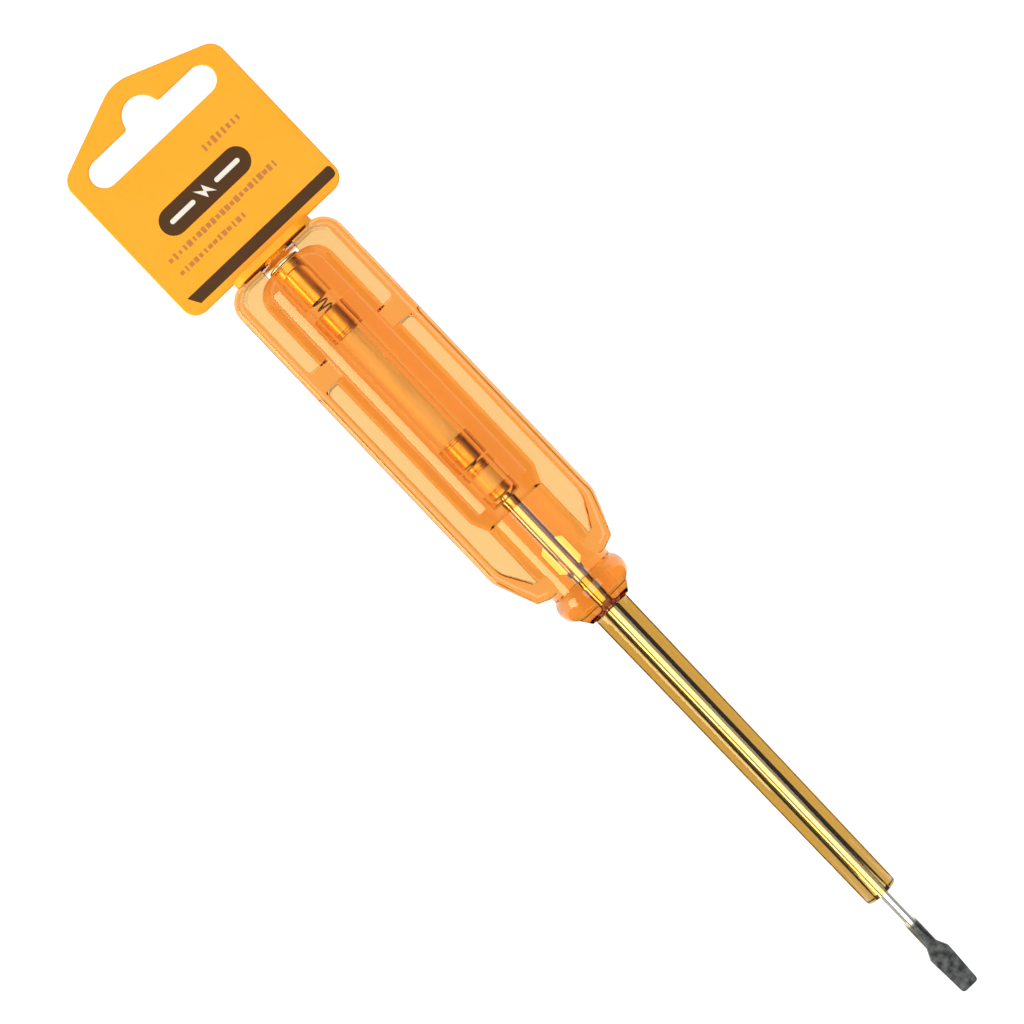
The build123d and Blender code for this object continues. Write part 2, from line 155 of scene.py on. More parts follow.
# ---------------------------------------------------------------- finishes
@dataclass(frozen=True)
class Surface:
    """An opaque finish: one shader with mottled colour, uneven gloss and a fine bump.

    Attributes:
        name: The material's name.
        base: Main colour, sRGB hex.
        mottle: Second colour, which cloudy patches take.
        roughness: Lowest and highest roughness over the surface.
        metallic: 0 for plastics and ceramics, 1 for metals.
        patch_mm: Size of the cloudy patches.
        grain_mm: Size of the bump's grain.
        grain_height_mm: Height of the bump's grain.
        stretch: Scale of both patterns along X: above 1 they lie as rings round the axis.
        coat: Weight of a clear coat.
        subsurface: Weight of light scattered under the surface.
        subsurface_mm: How far that light spreads.
        specular: Level of the skin's reflection, 0.5 for an ordinary plastic.
    """

    name: str
    base: str
    mottle: str
    roughness: tuple[float, float]
    metallic: float = 0.0
    patch_mm: float = 4.0
    grain_mm: float = 0.4
    grain_height_mm: float = 0.01
    stretch: float = 1.0
    coat: float = 0.0
    subsurface: float = 0.0
    subsurface_mm: float = 1.5
    specular: float = 0.5

    def material(self) -> bpy.types.Material:
        """Builds the material, or returns the one that is already there.

        Returns:
            The material.
        """
        if self.name in bpy.data.materials:
            return bpy.data.materials[self.name]
        material = bpy.data.materials.new(self.name)
        material.use_nodes = True
        tree = material.node_tree
        tree.nodes.clear()
        place = add_node(tree, "ShaderNodeTexCoord")
        run = add_node(
            tree,
            "ShaderNodeMapping",
            {"Vector": place.outputs["Object"], "Scale": (self.stretch, 1.0, 1.0)},
        )
        patches = add_node(
            tree,
            "ShaderNodeTexNoise",
            {"Vector": run.outputs["Vector"], "Scale": per_metre(self.patch_mm), "Detail": 4.0},
        )
        grain = add_node(
            tree,
            "ShaderNodeTexNoise",
            {"Vector": run.outputs["Vector"], "Scale": per_metre(self.grain_mm), "Detail": 2.0},
        )
        colour = add_node(
            tree,
            "ShaderNodeMix",
            {0: patches.outputs["Fac"], 6: linear(self.base), 7: linear(self.mottle)},
            data_type="RGBA",
        )
        gloss = add_node(
            tree,
            "ShaderNodeMapRange",
            {
                "Value": patches.outputs["Fac"],
                "From Min": NOISE_RANGE[0],
                "From Max": NOISE_RANGE[1],
                "To Min": self.roughness[0],
                "To Max": self.roughness[1],
            },
        )
        bump = add_node(
            tree,
            "ShaderNodeBump",
            {"Height": grain.outputs["Fac"], "Strength": 1.0, "Distance": self.grain_height_mm * MM},
        )
        shader = add_node(
            tree,
            "ShaderNodeBsdfPrincipled",
            {
                "Base Color": colour.outputs[2],
                "Roughness": gloss.outputs["Result"],
                "Metallic": self.metallic,
                "Normal": bump.outputs["Normal"],
                "Coat Weight": self.coat,
                "Subsurface Weight": self.subsurface,
                "Subsurface Scale": self.subsurface_mm * MM,
                "Specular IOR Level": self.specular,
            },
        )
        add_node(tree, "ShaderNodeOutputMaterial", {"Surface": shader.outputs["BSDF"]})
        return material


@dataclass(frozen=True)
class BondedWall:
    """A stretch of inner wall that doesn't show, so that what lies in it looks set in the plastic.

    Attributes:
        start: X where the stretch starts, in metres.
        end: X where it ends, in metres.
        radius: Distance from the tool's axis within which the wall lies, in metres.
        axis_z: Height of the tool's axis, in metres.
    """

    start: float
    end: float
    radius: float
    axis_z: float

    def mask(self, tree: bpy.types.NodeTree, place: Socket) -> Socket:
        """Adds nodes that give 1 on this stretch and 0 elsewhere.

        Args:
            tree: The material's tree.
            place: Object coordinates.

        Returns:
            The mask.
        """
        square = add_node(
            tree,
            "ShaderNodeVectorMath",
            {0: place, 1: (0.0, 1.0, 1.0), 2: (0.0, 0.0, -self.axis_z)},
            operation="MULTIPLY_ADD",
        )
        reach = add_node(tree, "ShaderNodeVectorMath", {0: square.outputs["Vector"]}, operation="LENGTH")
        near = add_node(
            tree, "ShaderNodeMath", {0: reach.outputs["Value"], 1: self.radius}, operation="LESS_THAN"
        )
        axes = add_node(tree, "ShaderNodeSeparateXYZ", {"Vector": place})
        along = add_node(
            tree,
            "ShaderNodeMath",
            {0: axes.outputs["X"], 1: (self.start + self.end) / 2, 2: (self.end - self.start) / 2},
            operation="COMPARE",
        )
        both = add_node(
            tree,
            "ShaderNodeMath",
            {0: near.outputs["Value"], 1: along.outputs["Value"]},
            operation="MULTIPLY",
        )
        return both.outputs["Value"]


@dataclass(frozen=True)
class ClearMoulding:
    """A clear tinted plastic or glass, whose colour deepens with its thickness.

    Attributes:
        name: The material's name.
        tint: Colour that the surface gives to what shows through, sRGB hex.
        passes: Colour that the volume lets through, sRGB hex: black channels are taken up fastest.
        strength: How fast the darkest channel is taken up, per metre.
        ior: Index of refraction.
        roughness: Roughness of the moulded surface.
        wave_mm: Size of the shallow waves that the mould leaves.
        wave_height_mm: Height of those waves.
    """

    name: str
    tint: str
    passes: str
    strength: float
    ior: float
    roughness: float
    wave_mm: float = 6.0
    wave_height_mm: float = 0.0

    def material(self, bonded: Sequence[BondedWall] = ()) -> bpy.types.Material:
        """Builds the material, or returns the one that is already there.

        Args:
            bonded: Stretches of wall whose surface doesn't show.

        Returns:
            The material.
        """
        if self.name in bpy.data.materials:
            return bpy.data.materials[self.name]
        material = bpy.data.materials.new(self.name)
        material.use_nodes = True
        tree = material.node_tree
        tree.nodes.clear()
        place = add_node(tree, "ShaderNodeTexCoord")
        waves = add_node(
            tree,
            "ShaderNodeTexNoise",
            {"Vector": place.outputs["Object"], "Scale": per_metre(self.wave_mm), "Detail": 0.0},
        )
        bump = add_node(
            tree,
            "ShaderNodeBump",
            {"Height": waves.outputs["Fac"], "Strength": 1.0, "Distance": self.wave_height_mm * MM},
        )
        body = add_node(
            tree,
            "ShaderNodeBsdfPrincipled",
            {
                "Base Color": linear(self.tint),
                "Roughness": self.roughness,
                "IOR": self.ior,
                "Transmission Weight": 1.0,
                "Normal": bump.outputs["Normal"],
            },
        )
        shown = None
        for wall in bonded:
            mask = wall.mask(tree, place.outputs["Object"])
            rest = add_node(tree, "ShaderNodeMath", {0: 1.0, 1: mask}, operation="SUBTRACT")
            if shown is None:
                shown = rest.outputs["Value"]
            else:
                both = add_node(
                    tree,
                    "ShaderNodeMath",
                    {0: shown, 1: rest.outputs["Value"]},
                    operation="MULTIPLY",
                )
                shown = both.outputs["Value"]
            tree.links.new(shown, body.inputs["Alpha"])
        # rays from lamps go straight through, so that the piece lights what lies behind it
        through = add_node(tree, "ShaderNodeBsdfTransparent", {"Color": linear("F4F4F4")})
        rays = add_node(tree, "ShaderNodeLightPath")
        either = add_node(
            tree,
            "ShaderNodeMixShader",
            {0: rays.outputs["Is Shadow Ray"], 1: body.outputs["BSDF"], 2: through.outputs["BSDF"]},
        )
        inside = add_node(
            tree,
            "ShaderNodeVolumeAbsorption",
            {"Color": linear(self.passes), "Density": self.strength},
        )
        add_node(
            tree,
            "ShaderNodeOutputMaterial",
            {"Surface": either.outputs["Shader"], "Volume": inside.outputs["Volume"]},
        )
        return material


@dataclass(frozen=True)
class BladeSteel:
    """Nickel-plated round steel that turns into a dark hardened tip with grinding marks. The tip's colour is
    partly its own dark finish and partly painted shade for the dark surroundings that its flats reflect, and
    its lighter blotches are partly mottling and partly painted highlights.

    Attributes:
        name: The material's name.
        plated: Colour of the plated shaft.
        dark_tip_and_shade: Colour of the dark tip, its own dark finish with painted shade.
        mottle_and_highlight: Colour of the tip's lighter blotches, partly mottling and partly painted
            highlights.
        tip_start: X where the dark tip begins, in metres.
        fade_mm: Length over which the plating fades out.
        mark_mm: Spacing of the grinding marks.
        mark_height_mm: Height of the grinding marks.
        mark_stretch: Scale of the marks along Y and Z, which draws them out across the blade.
        cloud_mm: Size of the blotches, and of the ragged edge of the plating.
        blotch_range: Noise values at which the lighter blotches start and are full.
        roughness: Roughness of the plating and of the dark tip.
    """

    name: str
    plated: str
    dark_tip_and_shade: str
    mottle_and_highlight: str
    tip_start: float
    fade_mm: float = 2.0
    mark_mm: float = 0.12
    mark_height_mm: float = 0.02
    mark_stretch: float = 0.02
    cloud_mm: float = 1.5
    blotch_range: tuple[float, float] = (0.3, 0.72)
    roughness: tuple[float, float] = (0.12, 0.42)

    def material(self) -> bpy.types.Material:
        """Builds the material.

        Returns:
            The material.
        """
        material = bpy.data.materials.new(self.name)
        material.use_nodes = True
        tree = material.node_tree
        tree.nodes.clear()
        place = add_node(tree, "ShaderNodeTexCoord")
        axes = add_node(tree, "ShaderNodeSeparateXYZ", {"Vector": place.outputs["Object"]})
        cloud = add_node(
            tree,
            "ShaderNodeTexNoise",
            {"Vector": place.outputs["Object"], "Scale": per_metre(self.cloud_mm), "Detail": 4.0},
        )
        ragged = add_node(
            tree,
            "ShaderNodeMath",
            {0: cloud.outputs["Fac"], 1: self.fade_mm * MM, 2: axes.outputs["X"]},
            operation="MULTIPLY_ADD",
        )
        dark = add_node(
            tree,
            "ShaderNodeMapRange",
            {
                "Value": ragged.outputs["Value"],
                "From Min": self.tip_start,
                "From Max": self.tip_start + self.fade_mm * MM,
            },
            interpolation_type="SMOOTHSTEP",
        )
        blotch = add_node(
            tree,
            "ShaderNodeMapRange",
            {
                "Value": cloud.outputs["Fac"],
                "From Min": self.blotch_range[0],
                "From Max": self.blotch_range[1],
            },
        )
        tip_colour_and_shade = add_node(
            tree,
            "ShaderNodeMix",
            {0: blotch.outputs["Result"], 6: linear(self.dark_tip_and_shade), 7: linear(self.mottle_and_highlight)},
            data_type="RGBA",
        )
        colour = add_node(
            tree,
            "ShaderNodeMix",
            {0: dark.outputs["Result"], 6: linear(self.plated), 7: tip_colour_and_shade.outputs[2]},
            data_type="RGBA",
        )
        gloss = add_node(
            tree,
            "ShaderNodeMapRange",
            {"Value": dark.outputs["Result"], "To Min": self.roughness[0], "To Max": self.roughness[1]},
        )
        across = add_node(
            tree,
            "ShaderNodeMapping",
            {"Vector": place.outputs["Object"], "Scale": (1.0, self.mark_stretch, self.mark_stretch)},
        )
        marks = add_node(
            tree,
            "ShaderNodeTexNoise",
            {"Vector": across.outputs["Vector"], "Scale": per_metre(self.mark_mm), "Detail": 2.0},
        )
        depth = add_node(
            tree,
            "ShaderNodeMath",
            {0: marks.outputs["Fac"], 1: dark.outputs["Result"]},
            operation="MULTIPLY",
        )
        bump = add_node(
            tree,
            "ShaderNodeBump",
            {"Height": depth.outputs["Value"], "Strength": 1.0, "Distance": self.mark_height_mm * MM},
        )
        shader = add_node(
            tree,
            "ShaderNodeBsdfPrincipled",
            {
                "Base Color": colour.outputs[2],
                "Roughness": gloss.outputs["Result"],
                "Metallic": 1.0,
                "Normal": bump.outputs["Normal"],
            },
        )
        add_node(tree, "ShaderNodeOutputMaterial", {"Surface": shader.outputs["BSDF"]})
        return material


# cellulose plastic, injection moulded: clear amber, deep orange where it is thick
HANDLE_AMBER = ClearMoulding("clear_amber_cellulose", "E8D29E", "FCCC00", 150.0, 1.48, 0.02, 14.0, 0.012)
# the same family of plastic, moulded as a tapered tube: yellower, and stronger for its thickness
SLEEVE_AMBER = ClearMoulding("clear_amber_sleeve", "F0E8CC", "F4D600", 300.0, 1.48, 0.04, 9.0, 0.01)
# soda-lime lamp glass: clear, thin and smooth
LAMP_GLASS = ClearMoulding("lamp_glass", "FFFED6", "F4FAF6", 8.0, 1.51, 0.0)
# polypropylene, injection moulded: opaque golden yellow with a satin skin
TAG_YELLOW = Surface("golden_polypropylene", "F8A30C", "F49F0A", (0.38, 0.5), patch_mm=9, grain_mm=0.5,
                     grain_height_mm=0.012, subsurface=0.1, specular=0.25)
# hot-foil print: dull brown-black with a faint grain where the foil took unevenly
PRINT_BLACK = Surface("black_foil_print", "402408", "503410", (0.45, 0.6), patch_mm=1.2, grain_mm=0.3,
                      grain_height_mm=0.01, specular=0.15)
# pale print on the dark badge
PRINT_PALE = Surface("pale_print", "E8E4DE", "D0CAC2", (0.5, 0.6), patch_mm=1.0)
# small print that has sunk into the plastic: brown on yellow
PRINT_BROWN = Surface("brown_fine_print", "A8661A", "C07A20", (0.5, 0.6), patch_mm=0.6)
# free-cutting brass, turned: warm yellow with fine rings
TURNED_BRASS = Surface("turned_brass", "F6DE90", "ECCC74", (0.28, 0.36), metallic=1.0, patch_mm=2.0,
                       grain_mm=0.08, grain_height_mm=0.001, stretch=6.0)
# thin pressed brass, slightly tarnished
CAP_BRASS = Surface("pressed_brass", "F4DC90", "DCB668", (0.28, 0.4), metallic=1.0, patch_mm=1.5,
                    grain_mm=0.2, grain_height_mm=0.001)
# hard-drawn spring wire: grey and bright
SPRING_WIRE = Surface("drawn_spring_wire", "9A9A9C", "7A7A7C", (0.2, 0.35), metallic=1.0, patch_mm=0.8)
# vulcanised fibre: dull red-brown with a papery grain
WASHER_FIBRE = Surface("vulcanised_fibre", "6A3322", "54281C", (0.6, 0.75), patch_mm=0.8, grain_mm=0.15)
# capping cement: chalky and cream
CEMENT = Surface("capping_cement", "D8CDB4", "C2B496", (0.8, 0.9), patch_mm=0.8, grain_mm=0.2,
                 grain_height_mm=0.02)
# tin-lead solder, reflowed: soft grey shine
SOLDER = Surface("tin_solder", "B8BABC", "96989C", (0.25, 0.45), metallic=1.0, patch_mm=0.5)
# copper-clad nickel-iron wire
LEAD_WIRE = Surface("copper_clad_wire", "C08A68", "A87458", (0.25, 0.35), metallic=1.0, patch_mm=0.6)
# nickel rod painted pale cream and matt: painted brightness for the lit lamp, so that none of the dark
# reflections of bare metal show
PALE_PAINTED_ELECTRODE = Surface("pale_painted_nickel", "FFF6CC", "F0E6B4", (0.35, 0.5), metallic=0.0, patch_mm=0.7,
                           grain_mm=0.15, grain_height_mm=0.01)
# carbon film under a pale cream lacquer, which takes its tan from the amber round it
RESISTOR_LACQUER = Surface("tan_resistor_lacquer", "FFF8E4", "F2E6C8", (0.25, 0.4), patch_mm=1.2,
                           grain_mm=0.5, grain_height_mm=0.01, coat=0.4)


# ---------------------------------------------------------------- mesh tools
def new_piece(name: str, mesh: bpy.types.Mesh, material: bpy.types.Material) -> bpy.types.Object:
    """Puts a mesh in the scene as a smooth piece at the origin.

    Args:
        name: The piece's name.
        mesh: Its mesh, in the tool's frame.
        material: Its finish.

    Returns:
        The piece's object.
    """
    mesh.name = name
    mesh.materials.clear()
    mesh.materials.append(material)
    mesh.shade_smooth()
    mesh.set_sharp_from_angle(angle=SMOOTH_ANGLE)
    piece = bpy.data.objects.new(name, mesh)
    bpy.context.scene.collection.objects.link(piece)
    return piece


def weld(source: bpy.types.Mesh, inset: float = 0.0) -> bpy.types.Mesh:
    """Copies a mesh of loose triangles as a closed one, and notes its exact normals on its corners.

    Args:
        source: The mesh to copy.
        inset: How far to draw its faces inwards, in metres.

    Returns:
        The welded copy.
    """
    mesh = source.copy()
    exact = [value for corner in mesh.corner_normals for value in corner.vector]
    for name in [a.name for a in mesh.attributes if a.name == "custom_normal"]:
        mesh.attributes.remove(mesh.attributes[name])
    mesh.attributes.new(EXACT_NORMAL, "FLOAT_VECTOR", "CORNER").data.foreach_set("vector", exact)
    shell = bmesh.new()
    shell.from_mesh(mesh)
    bmesh.ops.remove_doubles(shell, verts=shell.verts, dist=WELD_DISTANCE)
    bmesh.ops.dissolve_degenerate(shell, edges=shell.edges, dist=WELD_DISTANCE)
    if inset:
        shell.normal_update()
        moves = [(v, v.normal * v.calc_shell_factor() * inset) for v in shell.verts]
        for vertex, move in moves:
            vertex.co -= move
    shell.to_mesh(mesh)
    shell.free()
    return mesh


def restore_normals(mesh: bpy.types.Mesh) -> None:
    """Shades a welded mesh with the exact normals noted on its corners.

    Args:
        mesh: The mesh, with the noted attribute, which is used up.
    """
    noted = mesh.attributes[EXACT_NORMAL]
    normals = [Vector(corner.vector) for corner in noted.data]
    mesh.attributes.remove(noted)
    for face in mesh.polygons:
        for corner in face.loop_indices:
            if normals[corner].dot(face.normal) < LEAST_FACING:
                normals[corner] = face.normal.copy()
    mesh.normals_split_custom_set(normals)


@dataclass(frozen=True)
class Corner:
    """A corner of a turned profile.

    Attributes:
        x: Its place along the tool, in metres.
        r: Its distance from the tool's axis, in metres.
        fillet: Radius that rounds it, in metres.
    """

    x: float
    r: float
    fillet: float = 0.0


def filleted(corners: Sequence[Corner], steps: int = 5) -> list[tuple[float, float]]:
    """Rounds the corners of an open profile.

    Args:
        corners: The profile's corners in order.
        steps: Points on each rounded corner, less one.

    Returns:
        The profile's points as (x, radius).
    """
    points: list[tuple[float, float]] = []
    for index, corner in enumerate(corners):
        here = Vector((corner.x, corner.r))
        if not corner.fillet or index in (0, len(corners) - 1):
            points.append((here.x, here.y))
            continue
        back = Vector((corners[index - 1].x, corners[index - 1].r)) - here
        ahead = Vector((corners[index + 1].x, corners[index + 1].r)) - here
        half = back.angle(ahead) / 2
        longest = FILLET_SHARE * min(back.length, ahead.length)
        reach = min(corner.fillet / math.tan(half), longest)
        start, end = here + back.normalized() * reach, here + ahead.normalized() * reach
        for step in range(steps + 1):
            t = step / steps
            point = (1 - t) ** 2 * start + 2 * t * (1 - t) * here + t**2 * end
            points.append((point.x, point.y))
    return points


def turned(points: Sequence[tuple[float, float]], axis_z: float, segments: int = 72) -> bpy.types.Mesh:
    """Turns a profile about the tool's axis into a closed mesh.

    Args:
        points: Profile as (x, radius). It starts and ends on the axis, or it closes on itself.
        axis_z: Height of the tool's axis.
        segments: Faces round the axis.

    Returns:
        The mesh, with its faces outwards.
    """
    shell = bmesh.new()
    rings = []
    for x, radius in points:
        if radius < ON_AXIS:
            rings.append([shell.verts.new((x, 0.0, axis_z))])
            continue
        angles = (2 * math.pi * k / segments for k in range(segments))
        rings.append(
            [shell.verts.new((x, radius * math.cos(a), axis_z + radius * math.sin(a))) for a in angles]
        )
    closes = len(rings[0]) > 1
    pairs = list(zip(rings, rings[1:])) + ([(rings[-1], rings[0])] if closes else [])
    for near, far in pairs:
        for k in range(segments):
            after = (k + 1) % segments
            corners = [near[k % len(near)], near[after % len(near)], far[after % len(far)], far[k % len(far)]]
            distinct = list(dict.fromkeys(corners))
            if len(distinct) > 2:
                shell.faces.new(distinct)
    bmesh.ops.recalc_face_normals(shell, faces=shell.faces)
    mesh = bpy.data.meshes.new("turned")
    shell.to_mesh(mesh)
    shell.free()
    return mesh


def report(piece: bpy.types.Object) -> None:
    """Logs a finished piece and its face count."""
    LOG.info("%s: %d faces", piece.name, len(piece.data.polygons))


def settle(piece: bpy.types.Object, body: Body, nodes: Iterable[str], slot: str) -> bpy.types.Object:
    """Lets a piece ride on its body and stand for its CAD nodes.

    Args:
        piece: The finished piece.
        body: The rigid body it moves with.
        nodes: CAD nodes that it stands for.
        slot: The record's material slot; not used.

    Returns:
        The piece.
    """
    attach(piece, body.value)
    if nodes:
        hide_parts(*nodes)
    report(piece)
    return piece


# ---------------------------------------------------------------- geometry node trees
@dataclass(frozen=True)
class Input:
    """A named input of a geometry tree.

    Attributes:
        name: Its name.
        kind: Its socket type.
        value: Its value.
    """

    name: str
    kind: str
    value: object


def grown(
    name: str, inputs: Sequence[Input], build: Callable[[bpy.types.NodeTree, bpy.types.Node], Socket]
) -> bpy.types.Mesh:
    """Builds a geometry tree, runs it once on an empty mesh and returns the plain result.

    Args:
        name: Name of the tree.
        inputs: The tree's named inputs.
        build: Adds the tree's nodes, and returns the geometry that comes out of them.

    Returns:
        The resulting mesh.
    """
    tree = bpy.data.node_groups.new(name, "GeometryNodeTree")
    sockets = {}
    for entry in inputs:
        socket = tree.interface.new_socket(entry.name, in_out="INPUT", socket_type=entry.kind)
        sockets[entry.name] = socket.identifier
    tree.interface.new_socket("Geometry", in_out="OUTPUT", socket_type="NodeSocketGeometry")
    source = add_node(tree, "NodeGroupInput")
    shape = build(tree, source)
    whole = add_node(tree, "GeometryNodeRealizeInstances", {"Geometry": shape})
    dressed = add_node(
        tree,
        "GeometryNodeSetMaterial",
        {"Geometry": whole.outputs["Geometry"], "Material": source.outputs["Material"]},
    )
    add_node(tree, "NodeGroupOutput", {"Geometry": dressed.outputs["Geometry"]})
    carrier = bpy.data.objects.new(name, bpy.data.meshes.new(name))
    bpy.context.scene.collection.objects.link(carrier)
    modifier = carrier.modifiers.new(name, "NODES")
    modifier.node_group = tree
    for entry in inputs:
        modifier[sockets[entry.name]] = entry.value
    graph = bpy.context.evaluated_depsgraph_get()
    mesh = bpy.data.meshes.new_from_object(carrier.evaluated_get(graph), depsgraph=graph)
    carrier.modifiers.remove(modifier)
    bpy.data.objects.remove(carrier)
    return mesh


@dataclass(frozen=True)
class Coil:
    """A wire wound about the tool's axis: a spring, or the ridge of a thread.

    Attributes:
        start: X of the first turn's middle, in metres.
        length: Length from the first turn to the last, in metres.
        turns: Number of turns.
        radius: Radius of the wire's middle line, in metres.
        wire: Radius of the wire, in metres.
        sides: Sides of the wire's section.
        axis_z: Height of the tool's axis, in metres.
        turn_points: Points on each turn.
    """

    start: float
    length: float
    turns: float
    radius: float
    wire: float
    sides: int
    axis_z: float
    turn_points: int = 48

    def mesh(self, material: bpy.types.Material) -> bpy.types.Mesh:
        """Winds the wire.

        Args:
            material: The wire's finish.

        Returns:
            The wire as a plain mesh.
        """

        def build(tree: bpy.types.NodeTree, source: bpy.types.Node) -> Socket:
            """Adds the nodes: a spiral, laid along X, swept with a ring.

            Args:
                tree: The geometry tree.
                source: Its input node.

            Returns:
                The wire's geometry.
            """
            spiral = add_node(
                tree,
                "GeometryNodeCurveSpiral",
                {
                    "Resolution": source.outputs["Points per turn"],
                    "Rotations": source.outputs["Turns"],
                    "Start Radius": source.outputs["Radius"],
                    "End Radius": source.outputs["Radius"],
                    "Height": source.outputs["Length"],
                },
            )
            laid = add_node(
                tree,
                "GeometryNodeTransform",
                {
                    "Geometry": spiral.outputs["Curve"],
                    "Translation": source.outputs["Place"],
                    "Rotation": (0.0, math.pi / 2, 0.0),
                },
            )
            ring = add_node(
                tree,
                "GeometryNodeCurvePrimitiveCircle",
                {"Resolution": source.outputs["Sides"], "Radius": source.outputs["Wire radius"]},
            )
            swept = add_node(
                tree,
                "GeometryNodeCurveToMesh",
                {
                    "Curve": laid.outputs["Geometry"],
                    "Profile Curve": ring.outputs["Curve"],
                    "Fill Caps": True,
                },
            )
            return swept.outputs["Mesh"]

        return grown(
            "wound_wire",
            [
                Input("Points per turn", "NodeSocketInt", self.turn_points),
                Input("Turns", "NodeSocketFloat", float(self.turns)),
                Input("Radius", "NodeSocketFloat", self.radius),
                Input("Length", "NodeSocketFloat", self.length),
                Input("Place", "NodeSocketVector", (self.start, 0.0, self.axis_z)),
                Input("Sides", "NodeSocketInt", self.sides),
                Input("Wire radius", "NodeSocketFloat", self.wire),
                Input("Material", "NodeSocketMaterial", material),
            ],
            build,
        )


@dataclass(frozen=True)
class PrintedRow:
    """A row of small plain bars that stands for fine print, along Y on the tag.

    Attributes:
        x: X of the row's middle line, in metres.
        low: Where the row starts along Y, in metres.
        high: Where the row ends along Y, in metres.
        height: Height of the bars across the row, in metres.
        seed: Seed of the bars' lengths.
        PITCH: Distance from one bar to the next, in metres.
        INK: Thickness of the bars, in metres.
        SMALLEST: Least scale of a bar along X, Y and Z.
        LARGEST: Greatest scale of a bar along X, Y and Z.
    """

    x: float
    low: float
    high: float
    height: float
    seed: int
    PITCH: ClassVar[float] = 1.25 * MM
    INK: ClassVar[float] = 0.03 * MM
    SMALLEST: ClassVar[tuple[float, float, float]] = (0.5, 0.3, 1.0)
    LARGEST: ClassVar[tuple[float, float, float]] = (1.0, 0.82, 1.0)

    def mesh(self, ink_z: float, material: bpy.types.Material) -> bpy.types.Mesh:
        """Lays the row's bars at the height of the printed face.

        Args:
            ink_z: Height of the face, in metres.
            material: The ink.

        Returns:
            The row as a plain mesh.
        """

        def build(tree: bpy.types.NodeTree, source: bpy.types.Node) -> Socket:
            """Adds the nodes: a line of points, each with a bar of its own length.

            Args:
                tree: The geometry tree.
                source: Its input node.

            Returns:
                The bars' geometry.
            """
            line = add_node(
                tree,
                "GeometryNodeMeshLine",
                {
                    "Count": source.outputs["Count"],
                    "Start Location": source.outputs["Start"],
                    "Offset": source.outputs["Step"],
                },
            )
            size = add_node(
                tree,
                "FunctionNodeRandomValue",
                {0: self.SMALLEST, 1: self.LARGEST, "Seed": source.outputs["Seed"]},
                data_type="FLOAT_VECTOR",
            )
            bar = add_node(tree, "GeometryNodeMeshCube", {"Size": source.outputs["Bar"]})
            bars = add_node(
                tree,
                "GeometryNodeInstanceOnPoints",
                {
                    "Points": line.outputs["Mesh"],
                    "Instance": bar.outputs["Mesh"],
                    "Scale": size.outputs["Value"],
                },
            )
            return bars.outputs["Instances"]

        count = int((self.high - self.low) / self.PITCH)
        return grown(
            "printed_row",
            [
                Input("Count", "NodeSocketInt", count),
                Input("Start", "NodeSocketVector", (self.x, self.low + self.PITCH / 2, ink_z)),
                Input("Step", "NodeSocketVector", (0.0, self.PITCH, 0.0)),
                Input("Bar", "NodeSocketVector", (self.height, self.PITCH, self.INK)),
                Input("Seed", "NodeSocketInt", self.seed),
                Input("Material", "NodeSocketMaterial", material),
            ],
            build,
        )


# ---------------------------------------------------------------- the tool's sub-assemblies
@dataclass(frozen=True)
class ToolFrame:
    """Places that the pieces share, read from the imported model.

    Attributes:
        nodes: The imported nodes' objects.
        axis_z: Height of the tool's axis.
        butt_x: X of the handle's butt face.
    """

    nodes: dict[str, bpy.types.Object]
    axis_z: float
    butt_x: float

    @classmethod
    def read(cls, nodes: dict[str, bpy.types.Object]) -> ToolFrame:
        """Reads the axis from the sleeve and the butt face from the handle.

        Args:
            nodes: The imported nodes' objects.

        Returns:
            The tool's frame.
        """
        low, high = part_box("blade_sleeve")
        return cls(nodes, (low.z + high.z) / 2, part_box("handle")[0].x)

    def at(self, station_mm: float) -> float:
        """X of a station, in millimetres from the butt face towards the tip."""
        return self.butt_x + station_mm * MM

    def span(self, node: str) -> tuple[float, float, float]:
        """Measures a round node.

        Args:
            node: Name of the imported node.

        Returns:
            X of its start, X of its end and its outer radius.
        """
        low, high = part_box(node)
        return low.x, high.x, (high.y - low.y) / 2

    def welded(self, node: str, material: bpy.types.Material, inset: float = 0.0) -> bpy.types.Object:
        """Makes a smooth welded piece from a node's shape.

        Args:
            node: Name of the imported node.
            material: Finish of the piece.
            inset: How far its faces are drawn in, in metres.

        Returns:
            The piece, named after the node.
        """
        piece = new_piece(f"{node}_body", weld(self.nodes[node].data, inset), material)
        restore_normals(piece.data)
        return piece


